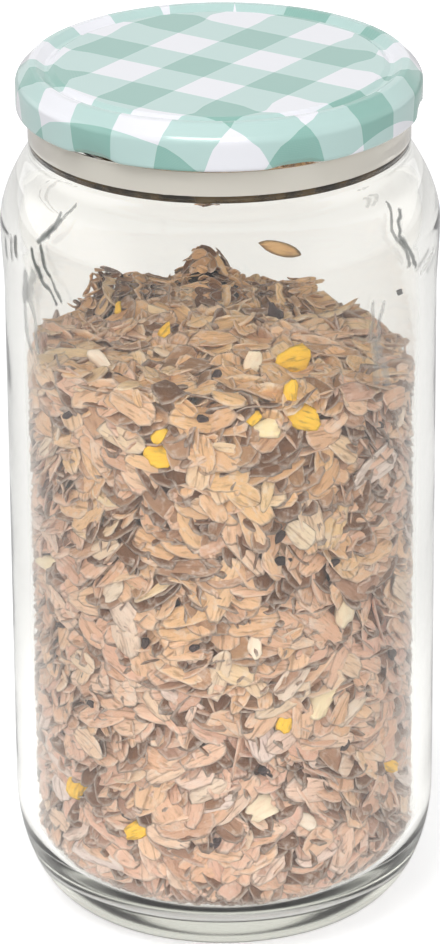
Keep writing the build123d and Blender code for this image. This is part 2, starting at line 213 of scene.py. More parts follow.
class JarGlassSettings(bpy.types.PropertyGroup):
    """Sizes and colours of the glass jar."""

    body_radius: size("Outer radius of the straight wall", 46.0)
    wall: size("Thickness of the glass wall", 4.0)
    base: size("Height of the inner bottom above the foot", 8.0)
    push_up: size("How far the outer bottom rises in its middle", 3.0)
    bearing_width: size("Width of the ring that the jar stands on", 4.0)
    heel_depth: size("How far the outer heel curves in", 12.9)
    heel_height: size("How high the outer heel's curve ends", 25.0)
    inner_heel_depth: size("How far the inner heel curves in", 9.0)
    inner_heel_height: size("How high the inner heel's curve ends above the base", 14.0)
    body_height: size("Height where the shoulder's bulge starts", 140.0)
    bulge_rise: size("From the straight wall up to the widest line", 15.5)
    shoulder_rise: size("From the widest line up to the neck ring", 16.5)
    neck_ring_height: size("Height of the smooth ring under the lid", 7.7)
    neck_ring_step: size("How far the ring stands out from the finish", 1.2)
    neck_ring_chamfer: size("Height of the slope on top of the ring", 0.85)
    finish_radius: size("Outer radius of the glass between the threads", 39.2)
    lip_wall: size("Thickness of the glass at the rim", 3.6)
    lip_round: size("Height of the rounding at the rim", 0.7)
    thread_depth: size("How far a thread stands out", 1.3)
    thread_root: size("Height of a thread's root", 1.8)
    thread_crest: size("Height of a thread's crest", 0.8)
    thread_rise: size("How far a thread climbs along its length", 1.9)
    thread_low: size("Height of a thread's low end under the rim", 4.85)
    thread_span: angle("Length of a thread round the neck", 40.0)
    thread_gap: angle("Half of the gap between two threads", 10.0)
    seam_angle: angle("Where the mould's seam runs up the jar", -106.2)
    seam_height: size("How far the seam stands out on the neck ring", 0.16)
    seam_width: size("Width of the seam", 0.55)
    wave_depth: size("How uneven the inner wall is", 0.05)
    segments: count("Faces round the jar", 200)
    glass_tint: tint("Colour of the glass surface", 252, 251, 248)
    depth_tint: tint("Colour that thick glass takes", 222, 224, 212)
    # Painted shade: the dark colour of streaks that stand for light folded by the glass
    painted_streak_shade: tint("Colour of the streaks where the glass folds the light", 58, 66, 62)
    # Painted reflection: the neck ring's glass is partly opaque in this colour, standing for the lid's inside seen in
    # it
    painted_ring_reflection: tint("Colour of the glass that reflects the lid's inside", 253, 247, 236)
    # Painted shade: the dark line under the neck ring, where the lid's underside would show
    groove_painted_shade: tint("Colour of the shaded groove under the neck ring", 92, 72, 42)
    groove_depth: size("Depth of the groove under the neck ring", 0.45)
    groove_height: size("Height of the groove under the neck ring", 2.0)
    shade_height: size("Height of the shaded line along the ring's foot", 1.6)
    depth_density: share("How fast thick glass takes its colour, per metre", 12.0)


class LidSettings(bpy.types.PropertyGroup):
    """Sizes and colours of the pressed lid."""

    sheet: size("Thickness of the tinplate", 0.25)
    skirt_shoulder_width: size("From the crown's outer edge to the skirt", 2.95)
    skirt_shoulder_drop: size("From the crown down to the upright skirt", 3.5)
    skirt_break_width: size("How far the second slope runs out", 0.55)
    upper_shoulder_drop: size("How far the first slope falls", 2.4)
    crown_flat: size("Width of the crown's top", 1.4)
    crown_slope_width: size("Width of the crown's inner slope", 1.8)
    groove_drop: size("How deep the groove lies under the crown", 1.3)
    groove_width: size("Width of the groove's floor", 0.8)
    step_width: size("Width of the slope from the groove to the panel", 1.2)
    panel_drop: size("How far the panel lies under the crown", 0.5)
    crown_bend: size("Radius of the crown's edges", 0.9)
    groove_bend: size("Radius of the groove's edges", 0.4)
    skirt_bend: size("Radius of the skirt's upper bends", 2.2)
    curl_radius: size("Outer radius of the rolled edge", 0.9)
    curl_turn: angle("How far the edge is rolled", 285.0)
    lug_first: angle("Where the first lug stands", -68.0)
    lug_half: angle("Half of the width of a lug", 6.6)
    lug_lift: size("How far the outer edge rises at a lug", 0.95)
    lug_pull: size("How far the edge is pressed in at a lug", 1.25)
    lug_count: count("How many lugs the lid has", 6)
    segments: count("Faces round the lid", 240)
    stripe: size("Width of a stripe of the print", 10.7)
    print_turn: angle("How far the print is turned on the lid", -34.7)
    print_x: size("A white square's centre across", -1.94)
    print_y: size("A white square's centre away from the front", -16.85)
    white: tint("The print's white squares", 243, 243, 249)
    light: tint("One stripe of the print", 186, 217, 212)
    deep: tint("Two stripes of the print crossing", 132, 184, 172)
    lacquer: tint("The lacquer inside the lid", 212, 200, 176)
    seal: tint("The sealing ring's compound", 224, 222, 212)


class OatSettings(bpy.types.PropertyGroup):
    """Sizes and colours of the oats and what is mixed into them."""

    length: size("Length of a common flake", 9.3)
    width: size("Width of a common flake", 4.6)
    thickness: size("Thickness of a common flake", 0.75)
    spread: share("How much flakes differ in size", 0.17)
    glass_gap: size("Air between the flakes and the glass", 0.45)
    shell: size("Depth of loose flakes behind the glass", 7.5)
    cell: size("Side of the cells in which flakes look for room", 0.7)
    overlap: share("Share of its cells that a flake may share with others", 0.07)
    front_z: size("Height of the oats at the front", 130.6)
    middle_z: size("Height of the oats in the middle", 128.5)
    cream: tint("The palest flakes", 230, 218, 208)
    tan: tint("Common flakes", 232, 198, 168)
    rose: tint("Greyish pink flakes", 222, 182, 158)
    # Real brown flakes and the maize bits' darkest tone, and also the painted shade of flakes deep behind the glass
    brown: tint("The brownest flakes", 112, 74, 44)
    bran: tint("Bran along a flake's streaks and crease", 128, 82, 46)
    # Painted shade: the near-black of the core, where shade shows deep between the flakes; also the dark seeds' darkest
    # tones
    core: tint("What shows deep between the flakes", 40, 26, 20)
    maize: tint("Yellow bits", 250, 206, 62)
    seed: tint("Dark seeds", 70, 54, 56)
    chip: tint("Pale chips", 244, 234, 214)
    husk: tint("The husk that clings to the glass", 188, 154, 112)


class StageSettings(bpy.types.PropertyGroup):
    """The camera, the floor and the light."""

    distance: size("From the camera to the jar's middle", 1100.0)
    aim_z: size("Height that the camera looks at", 96.5)
    centre_z: size("Height that the camera turns about", 95.0)
    aim_x: size("How far right of the jar's axis the camera looks", -0.45)
    pitch: angle("How far the camera looks down", 23.2)
    roll: angle("How far the camera leans clockwise", 0.45)
    focal_px: share("Focal length in pixels of the picture", 5082.0)
    floor_side: size("Side of the square floor", 6000.0)
    floor: tint("The floor", 232, 232, 232)
    key_power: share("Power of the large lamp", 18.5, "POWER")
    fill_power: share("Power of the side lamp", 8.0, "POWER")
    strip_power: share("Power of the lamp that only gloss shows", 14.0, "POWER")
    sky: share("Strength of the light from all round on plain surfaces", 0.36)
    back: share("How bright glass and gloss see the background", 1.0)
    front: share("How bright glass and gloss see the room in front", 0.75)
    window: share("How much light the window in front sends through the glass", 7.7)


def add_object(name, data):
    """A new object of the scene, at the origin."""
    made = bpy.data.objects.new(name, data)
    bpy.context.scene.collection.objects.link(made)
    return made


def add_mesh(name, points, groups):
    """A new smooth object from points and arrays of faces, each array with one number of corners."""
    mesh = bpy.data.meshes.new(name)
    corners = np.concatenate([g.ravel() for g in groups]).astype(np.int32)
    totals = np.concatenate([np.full(len(g), g.shape[1]) for g in groups]).astype(np.int32)
    starts = np.concatenate([[0], np.cumsum(totals)[:-1]]).astype(np.int32)
    mesh.vertices.add(len(points))
    mesh.vertices.foreach_set("co", np.ascontiguousarray(points, np.float32).ravel())
    mesh.loops.add(len(corners))
    mesh.loops.foreach_set("vertex_index", corners)
    mesh.polygons.add(len(starts))
    mesh.polygons.foreach_set("loop_start", starts)
    mesh.update(calc_edges=True)
    mesh.polygons.foreach_set("use_smooth", np.full(len(starts), True))
    return add_object(name, mesh)


def set_uv(piece, name, places):
    """Give the piece a UV map from one place for each vertex."""
    layer = piece.data.uv_layers.new(name=name)
    corner = np.zeros(len(piece.data.loops), np.int32)
    piece.data.loops.foreach_get("vertex_index", corner)
    layer.data.foreach_set("uv", np.ascontiguousarray(places[corner], np.float32).ravel())


def unit(vectors, least=0.0):
    """Vectors of length 1, from those along the last axis. A least length guards against a division by zero."""
    return vectors / (np.linalg.norm(vectors, axis=-1, keepdims=True) + least)


def radius_of(points):
    """Distance of points from the jar's axis."""
    return np.hypot(points[..., 0], points[..., 1])


def joined(*sections):
    """One line of points from sections that meet end to end."""
    return np.vstack([sections[0], *(section[1:] for section in sections[1:])])


def straight(start, end, steps):
    """Points from start to end, closer together near both ends."""
    along = (1 - np.cos(np.linspace(0, math.pi, steps))) / 2
    return np.array(start) + (np.array(end) - np.array(start)) * along[:, None]


def quarter(wide, foot, depth, height, steps):
    """A quarter of an ellipse, from level at its foot to upright at the wall."""
    turn = np.linspace(-math.pi / 2, 0, steps)
    return np.stack([wide - depth + depth * np.cos(turn), foot + height + height * np.sin(turn)], 1)


def spline(points, start, end, steps):
    """A cubic spline through the points, with even curvature across them and given directions at its ends."""
    points = np.array(points, float)
    spans = np.linalg.norm(np.diff(points, axis=0), axis=1)
    matrix = np.zeros((len(points), len(points)))
    target = np.zeros((len(points), 2))
    matrix[0, 0] = matrix[-1, -1] = 1
    target[0], target[-1] = start, end
    for i in range(1, len(points) - 1):
        before, after = spans[i - 1], spans[i]
        matrix[i, i - 1:i + 2] = after, 2 * (before + after), before
        target[i] = 3 * (after * (points[i] - points[i - 1]) / before + before * (points[i + 1] - points[i]) / after)
    slopes = np.linalg.solve(matrix, target)
    pieces = []
    for i, span in enumerate(spans):
        t = np.linspace(0, 1, max(3, round(steps * span / spans.sum())))[:, None]
        pieces.append(
            (2 * t**3 - 3 * t**2 + 1) * points[i] + (t**3 - 2 * t**2 + t) * span * slopes[i]
            + (3 * t**2 - 2 * t**3) * points[i + 1] + (t**3 - t**2) * span * slopes[i + 1]
        )
    return joined(*pieces)


def bent(corners, radii, steps):
    """An open line through corners, with each inner corner rounded by an arc of its own radius."""
    corners = [np.array(c, float) for c in corners]
    line = [corners[0]]
    for before, corner, after, radius in zip(corners, corners[1:], corners[2:], radii):
        to_start, to_end = unit(before - corner), unit(after - corner)
        opening = math.acos(np.clip(to_start @ to_end, -1, 1))
        reach = radius / math.tan(opening / 2)
        centre = corner + unit(to_start + to_end) * radius / math.sin(opening / 2)
        first = corner + to_start * reach - centre
        last = corner + to_end * reach - centre
        sweep = math.pi - opening
        for t in np.linspace(0, 1, steps):
            line.append(centre + (first * math.sin(sweep * (1 - t)) + last * math.sin(sweep * t)) / math.sin(sweep))
    line.append(corners[-1])
    return np.array(line)


def finer(line, step):
    """The same line with more points wherever two lie further apart than the step."""
    gaps = np.linalg.norm(np.diff(line, axis=0), axis=1)
    return joined(*[straight(a, b, 2 + int(gap / step)) for a, b, gap in zip(line, line[1:], gaps)])


def sideways(line):
    """Unit normals to the left of the line at each point."""
    slope = unit(np.gradient(line, axis=0), 1e-12)
    return np.stack([-slope[:, 1], slope[:, 0]], 1)


def full_turn(segments):
    """Angles of an even ring."""
    return np.arange(segments) * 2 * math.pi / segments


def turned(line, turns):
    """Radius and height of each point of the line at each angle, as two tables."""
    return np.repeat(line[:, :1], len(turns), 1), np.repeat(line[:, 1:], len(turns), 1)


def turned_mesh(name, radius, height, turns, upwards):
    """A closed skin from tables of radius and height over angle, whose first and last rows are poles."""
    rows, columns = radius.shape
    inner = slice(1, rows - 1)
    rings = np.stack([radius[inner] * np.cos(turns), radius[inner] * np.sin(turns), height[inner]], 2).reshape(-1, 3)
    points = np.vstack([rings, [[0, 0, height[0, 0]], [0, 0, height[-1, 0]]]])
    index = np.arange(len(rings)).reshape(rows - 2, columns)
    beside = np.roll(index, -1, 1)
    groups = [
        np.stack([index[:-1], beside[:-1], beside[1:], index[1:]], 2).reshape(-1, 4),
        np.stack([np.full(columns, len(rings)), beside[0], index[0]], 1),
        np.stack([np.full(columns, len(rings) + 1), index[-1], beside[-1]], 1),
    ]
    return add_mesh(name, points, groups if upwards else [g[:, ::-1] for g in groups])


def smooth(low, high, value):
    """A soft step from 0 below low to 1 above high."""
    t = np.clip((value - low) / (high - low), 0, 1)
    return t * t * (3 - 2 * t)


def wrapped(turns, centre):
    """Angle from a centre, between minus and plus half a turn."""
    return (turns - centre + math.pi) % (2 * math.pi) - math.pi


def neck_height(s):
    """Height of the neck ring's foot."""
    return s.body_height + s.bulge_rise + s.shoulder_rise


def shoulder(s):
    """The outer shoulder's half section: splines from the straight wall out to the widest line and in to the neck."""
    ring = s.finish_radius + s.neck_ring_step
    bulge_z = s.body_height + s.bulge_rise
    widest = (BULGE_RADIUS, bulge_z)
    ogee = [(ring + (BULGE_RADIUS - ring) * out, bulge_z + s.shoulder_rise * up) for up, out in OGEE]
    return joined(
        spline([(s.body_radius, s.body_height), widest], UPWARDS, UPWARDS, 16),
        spline([widest, *ogee, (ring, neck_height(s))], UPWARDS, UPWARDS, 44),
    )


def jar_outside(s):
    """The outer half section of the glass, from the middle of the bottom up to the rim's crest."""
    out = s.body_radius - s.heel_depth
    inside = out - s.bearing_width
    ring = s.finish_radius + s.neck_ring_step
    neck_z = neck_height(s)
    ring_z = neck_z + s.neck_ring_height
    bead = s.groove_height / 2
    lip = (s.finish_radius, RIM_Z - s.lip_round)
    ring_line = bent(
        [(ring, neck_z), (ring - s.groove_depth, neck_z + bead), (ring, neck_z + 2 * bead), (ring, ring_z),
         (s.finish_radius, ring_z + s.neck_ring_chamfer), lip],
        [0.3 * MM, 0.4 * MM, 0.35 * MM, 0.3 * MM], 6,
    )
    return joined(
        spline([(0, s.push_up), (inside * 0.6, s.push_up * 0.72), (inside, 0)], (1, 0), (0.98, -0.2), 24),
        straight((inside, 0), (out, 0), 6),
        quarter(s.body_radius, 0, s.heel_depth, s.heel_height, 40),
        straight((s.body_radius, s.heel_height), (s.body_radius, s.body_height), 30),
        shoulder(s),
        finer(ring_line, 0.25 * MM),
        spline([lip, (s.finish_radius - s.lip_wall / 2, RIM_Z)], UPWARDS, (-1, 0), 8),
    )


def jar_inside(s):
    """The inner half section of the glass, from the rim's crest down to the middle of the bottom.

    Its shoulder is the outer one moved in square to itself by the wall's thickness, which grows near the neck.
    """
    inner = s.body_radius - s.wall
    bore = s.finish_radius - s.lip_wall
    lip = (bore, RIM_Z - s.lip_round)
    outer = shoulder(s)
    thicker = smooth(0.72, 1, np.linspace(0, 1, len(outer)))[:, None]
    wall = s.wall + (outer[-1, 0] - bore - s.wall) * thicker
    across = sideways(outer)
    across[0] = across[-1] = (-1, 0)
    curve = (outer + across * wall)[::-1]
    return joined(
        spline([(s.finish_radius - s.lip_wall / 2, RIM_Z), lip], (-1, 0), (0, -1), 8),
        straight(lip, (bore, curve[0, 1]), 16),
        curve,
        straight((inner, curve[-1, 1]), (inner, s.base + s.inner_heel_height), 30),
        quarter(inner, s.base, s.inner_heel_depth, s.inner_heel_height, 36)[::-1],
        straight((inner - s.inner_heel_depth, s.base), (0, s.base), 12),
    )


def thread_height(s, lid, turns, height):
    """How far the threads stand out at each angle and height: six slanting ridges with tapered ends."""
    pitch = 2 * math.pi / lid.lug_count
    along = ((turns - lid.lug_first - s.thread_gap) % pitch) / s.thread_span
    taper = smooth(0, 0.22, along) * smooth(0, 0.22, 1 - along)
    centre = RIM_Z - s.thread_low + s.thread_rise * along
    half_root, half_crest = (h / 2 * (0.4 + 0.6 * taper) for h in (s.thread_root, s.thread_crest))
    side = (half_root - np.abs(height - centre)) / (half_root - half_crest)
    return s.thread_depth * taper * smooth(0, 1, side)


def waves(s, turns, height):
    """A slow unevenness of blown glass: a sum of three sine waves over angle and height."""
    z = height / (30 * MM)
    first = np.sin(3 * turns + 2.1 * z) * 0.5
    return s.wave_depth * (first + np.sin(5 * turns - 3.3 * z + 1.7) * 0.3 + np.sin(8 * turns + 1.3 * z + 0.4) * 0.2)


class Wire:
    """An output socket that can be added, subtracted and multiplied, so that a node tree reads like a formula."""

    def __init__(self, socket):
        self.socket = socket
        self.tree = socket.id_data

    def __add__(self, other):
        return maths("ADD", self, other)

    def __sub__(self, other):
        return maths("SUBTRACT", self, other)

    def __rsub__(self, other):
        return maths("SUBTRACT", other, self)

    def __mul__(self, other):
        return maths("MULTIPLY", self, other)


def feed(socket, value):
    """Give an input socket a link from a wire, or a constant."""
    if isinstance(value, Wire):
        value.tree.links.new(value.socket, socket)
    else:
        socket.default_value = value


def node(tree, kind, inputs=(), out=0, **values):
    """One output of a new node, with its properties set and its inputs fed."""
    made = tree.nodes.new("ShaderNode" + kind)
    for key, value in values.items():
        setattr(made, key, value)
    for key, value in dict(inputs).items():
        feed(made.inputs[key], value)
    return Wire(made.outputs[out])


def tree_of(*values):
    """The node tree of the first wire among some values."""
    return next(value.tree for value in values if isinstance(value, Wire))


def maths(operation, *values, clamp=False):
    """A maths node over wires and numbers."""
    return node(tree_of(*values), "Math", enumerate(values), operation=operation, use_clamp=clamp)


def vector_maths(operation, *values, out="Value"):
    """A vector maths node over wires and vectors."""
    return node(tree_of(*values), "VectorMath", enumerate(values), out, operation=operation)


def mixed(factor, first, second, blend="MIX"):
    """A colour mixed from two colours or wires by a factor."""
    inputs = {0: factor, 6: first, 7: second}
    return node(tree_of(factor, first, second), "Mix", inputs, 2, data_type="RGBA", blend_type=blend)


def split(vector, kind="SeparateXYZ"):
    """The three parts of a vector or a colour."""
    return [Wire(socket) for socket in node(vector.tree, kind, {0: vector}).socket.node.outputs]


def bump(height, distance, strength):
    """A bump node over a height, with its distance in metres."""
    return node(height.tree, "Bump", {"Strength": strength, "Distance": distance, "Height": height})


def noise(vector, scale, detail, roughness=0.5):
    """Noise over a vector."""
    inputs = {"Scale": scale, "Detail": detail, "Roughness": roughness, "Vector": vector}
    return node(vector.tree, "TexNoise", inputs, "Fac")


def soft_step(value, low, high):
    """A soft step of a wire between two numbers."""
    inputs = {"From Min": low, "From Max": high, "Value": value}
    return node(value.tree, "MapRange", inputs, interpolation_type="SMOOTHSTEP")


def rays(tree):
    """Whether a ray comes from the camera, from gloss or through glass."""
    return [node(tree, "LightPath", out=f"Is {kind} Ray") for kind in ("Camera", "Glossy", "Transmission")]


def object_place(tree):
    """Where a point lies in its piece."""
    return node(tree, "TexCoord", out="Object")


def times(colour, factor):
    """A colour made lighter or darker."""
    return (*(part * factor for part in colour[:3]), 1.0)


def new_material(name):
    """An empty node material with its tree and its output."""
    material = bpy.data.materials.new(name)
    material.use_nodes = True
    material.node_tree.nodes.clear()
    return material, material.node_tree, material.node_tree.nodes.new("ShaderNodeOutputMaterial")


def principled(output, **values):
    """A main shader with its sockets fed by name, joined to the output."""
    inputs = {key.replace("_", " "): value for key, value in values.items()}
    shader = node(output.id_data, "BsdfPrincipled", inputs)
    feed(output.inputs["Surface"], shader)
    return shader


def glass_material(name, surface, s, clear=1.0, rough=0.0, mirror=0.28, patchy=False, streaks=()):
    """Glass with faint uneven reflections, as clear as asked, and a colour that grows with depth.

    Glass with streaks, painted shade where uneven glass would fold the light, is that of the whole body, and is also
    slightly rough in its base.
    """
    material, tree, output = new_material(name)
    place = object_place(tree)
    # Painted shade: darker, less clear streaks where the glass would fold the light
    if streaks:
        rough = soft_step(split(place)[2], *ROUGH_BASE[:2]) * ROUGH_BASE[2]
        dark = painted_streak_mask(place, streaks)
        surface = mixed(dark, surface, s.painted_streak_shade)
        clear = 1.0 - dark * 0.75
    # Painted shade in darker patches, used for the line under the neck ring
    if patchy:
        patches = soft_step(noise(place, 190.0, 2.0), 0.36, 0.64)
        surface = mixed(patches, times(surface, 0.12), surface)
    principled(
        output, Base_Color=surface, Roughness=rough, IOR=1.5, Transmission_Weight=clear, Specular_IOR_Level=mirror,
        Normal=bump(noise(place, 55.0, 1.0), 0.15 * MM, 0.35),
    )
    depth = node(tree, "VolumeAbsorption", {"Color": s.depth_tint, "Density": s.depth_density})
    feed(output.inputs["Volume"], depth)
    return material


def painted_streak_mask(place, rows):
    """1 inside painted dark streaks of shade on the glass, each a wobbling line between two places given as angle and
    height.

    The place is unrolled to a flat sheet of arc length and height. A streak's strength falls off softly with
    the distance to its line.
    """
    east, north, height = split(place)
    arc = maths("ARCTAN2", north, east) * BULGE_RADIUS
    wobble = (noise(place, 160.0, 2.0) - 0.5) * (5 * MM)
    flat = node(place.tree, "CombineXYZ", {0: arc + wobble, 1: height})
    mask = 0.0
    for start, low, end, high, wide, dark in rows:
        first = np.array([math.radians(start) * BULGE_RADIUS, low * MM, 0])
        along = np.array([math.radians(end) * BULGE_RADIUS, high * MM, 0]) - first
        off = vector_maths("SUBTRACT", flat, first, out="Vector")
        part = maths("ADD", vector_maths("DOT_PRODUCT", off, along / (along @ along)), 0.0, clamp=True)
        on_line = node(place.tree, "VectorMath", {0: along, "Scale": part}, operation="SCALE")
        near = soft_step(vector_maths("DISTANCE", off, on_line), wide * MM, wide * MM * 0.25)
        mask = maths("MAXIMUM", mask, near * dark)
    return mask


def gingham_material(s):
    """Gloss enamel with a printed gingham: two sets of stripes on the flat sheet, each crossing deeper."""
    material, tree, output = new_material("gingham enamel")
    sheet = node(tree, "UVMap", uv_map="sheet")
    inputs = {
        "Vector": sheet, "Location": (s.print_x, s.print_y, 0), "Rotation": (0, 0, s.print_turn),
        "Scale": (2 * s.stripe, 2 * s.stripe, 1),
    }
    axes = split(node(tree, "Mapping", inputs, vector_type="TEXTURE"))[:2]
    stripes = [maths("GREATER_THAN", maths("FRACT", axis + 100.25), 0.5) for axis in axes]
    either = maths("MAXIMUM", *stripes)
    weave = maths("MULTIPLY", *(maths("SINE", axis * (2 * math.pi * WEAVE_THREADS)) for axis in axes))
    shade = mixed(maths("MULTIPLY", *stripes), mixed(either, s.white, s.light), s.deep)
    woven = mixed((weave + 1.0) * 0.035 * either, shade, s.white)
    cloud = noise(sheet, 90.0, 3.0)
    orange_peel = noise(sheet, 900.0, 2.0)
    principled(
        output, Base_Color=mixed(cloud * 0.10, woven, PRINT_CLOUD), Roughness=cloud * 0.10 + 0.16, IOR=1.5,
        Specular_IOR_Level=0.45, Coat_Weight=0.35, Coat_Roughness=0.05, Normal=bump(orange_peel, 0.02 * MM, 0.25),
    )
    return material


def speckled_material(name, colour, factor, scale, detail, rough, depth, strength, edges=None):
    """A dull surface whose colour goes over to a darker or lighter one with a fine noise, which is also its relief."""
    material, tree, output = new_material(name)
    grain = noise(object_place(tree), scale, detail)
    mask = soft_step(grain, *edges) if edges else grain
    least, more = rough
    principled(
        output, Base_Color=mixed(mask, colour, times(colour, factor)),
        Roughness=grain * more + least if more else least, Normal=bump(grain, depth * MM, strength),
    )
    return material


def grain_material(name, pale, common, other, dark, bran, ridge=1.0):
    """A dry grain: each flake has its own tone, a pale rim that is partly its thin edge and partly painted light, bran
    in its crease, and ridges along its length.
    """
    material, tree, output = new_material(name)
    tone, edge, warmth_with_shade = split(node(tree, "Attribute", attribute_name="grain"), "SeparateColor")
    across = node(tree, "Attribute", out="Alpha", attribute_name="grain")
    flat = node(tree, "UVMap", uv_map="flake")
    ridges = noise(node(tree, "Mapping", {0: flat, "Scale": (0.22, 1.0, 1.0)}), 1300.0, 3.0, 0.6)
    blotches = noise(flat, 420.0, 3.0, 0.6)
    ramp = node(tree, "ValToRGB", {0: tone})
    stops = ramp.socket.node.color_ramp.elements
    for place in (0.26, 0.60):
        stops.new(place)
    for stop, colour in zip(stops, (dark, other, common, pale)):
        stop.color = colour
    # Warmth, which is partly painted shade, turns the tone from pinkish to golden
    hue = mixed(warmth_with_shade, (1.0, 0.94, 0.98, 1), (1.0, 0.91, 0.64, 1))
    base = mixed(1.0, ramp, hue, "MULTIPLY")
    marked = mixed(soft_step(blotches, 0.5, 0.72) * 0.5, base, pale)
    # A pale rim: partly the flake's thin edge, partly painted light that lifts the shade where the rim turns sideways
    rim_painted_light = mixed(soft_step(edge, 0.80, 1.0) * 0.45, marked, pale)
    crease = 1.0 - soft_step(maths("ABSOLUTE", across - 0.5) + blotches * 0.05, 0.02, 0.09)
    creased = mixed(crease * 0.5, rim_painted_light, bran)
    principled(
        output, Base_Color=mixed(soft_step(ridges, 0.50, 0.68) * 0.5, creased, bran), Roughness=0.62, IOR=1.45,
        Specular_IOR_Level=0.35, Normal=bump(ridges, 0.35 * MM * ridge, 0.9),
    )
    return material


def inner_radius_at(s, z):
    """Radius of the glass's inner wall at heights in the heel and the straight wall."""
    up = np.clip((s.base + s.inner_heel_height - z) / s.inner_heel_height, 0, 1)
    return s.body_radius - s.wall - s.inner_heel_depth + s.inner_heel_depth * np.sqrt(1 - up**2)


def heap_height(o, s, points):
    """Height of the oats: a ring of heights round the wall, blended to one in the middle, with mounds and ripples."""
    x, y = points[..., 0], points[..., 1]
    out = np.clip(np.hypot(x, y) / (s.body_radius - s.wall), 0, 1)
    degrees, heights = np.array(HEAP_RING).T
    at_wall = np.interp(np.degrees(np.arctan2(y, x)), degrees, o.front_z + MM * heights)
    mound = 0
    for east, north, tall, wide in HEAP_MOUNDS:
        mound = mound + tall * MM * np.exp(-(((x / MM - east) ** 2 + (y / MM - north) ** 2) / wide**2) ** 1.3)
    ripple = 0.5 * MM * np.sin(x / (1.7 * MM) + 1.3) * np.sin(y / (1.9 * MM) + 0.4)
    return o.middle_z + (at_wall - o.middle_z) * smooth(0.25, 0.92, out) + mound + ripple


def heap_slope(o, s, points):
    """The heap's unit normal, from its height a little to each side."""
    step = 0.8 * MM
    east, north = (
        (heap_height(o, s, points + side) - heap_height(o, s, points - side)) / (2 * step)
        for side in np.eye(3)[:2] * step
    )
    return unit(np.stack([-east, -north, np.ones_like(east)], 1))


class Picture:
    """The camera's view of the jar: where the line through a pixel of the photograph runs."""

    def __init__(self, stage):
        back = Vector((0, -math.cos(stage.pitch), math.sin(stage.pitch)))
        self.eye = Vector((stage.aim_x, 0, stage.centre_z)) + back * stage.distance
        forward = (Vector((stage.aim_x, 0, stage.aim_z)) - self.eye).normalized()
        self.turn = forward.to_track_quat("-Z", "Y").to_matrix() @ Matrix.Rotation(-stage.roll, 3, "Z")
        self.focal = stage.focal_px

    def line(self, px, py):
        """Direction of the line of sight through a pixel."""
        local = Vector((px - PICTURE_WIDTH / 2, PICTURE_HEIGHT / 2 - py, -self.focal))
        return np.array((self.turn @ local).normalized())

    def millimetres(self, px):
        """Real length of a number of pixels at the jar's axis, a fifth of the camera's height up."""
        return px * (self.eye - Vector((0, 0, self.eye.z * 0.2))).length / self.focal

    def meets(self, px, py, holds):
        """First point along the line of sight, 0.95 to 1.25 m away, for which holds says True."""
        points = np.array(self.eye) + np.arange(0.95, 1.25, 0.0003)[:, None] * self.line(px, py)
        return points[np.argmax(holds(points))]


def disc_points():
    """Points of an even grid inside a round disc of radius 1, to stand for a flake while it looks for room."""
    line = np.linspace(-0.9, 0.9, 7)
    u, v = np.meshgrid(line, line)
    inside = np.hypot(u, v) < 0.95
    return u[inside], v[inside]


def lie(turn, height):
    """How flakes near each other lie alike: an angle in their plane, a sum of sine waves over turn and height."""
    z = height / (10 * MM)
    first = 0.55 * np.sin(2 * turn + 0.7 * z + 0.6)
    return first + 0.45 * np.sin(5 * turn - 1.1 * z + 1.9) + 0.3 * np.sin(9 * turn + 1.7 * z)


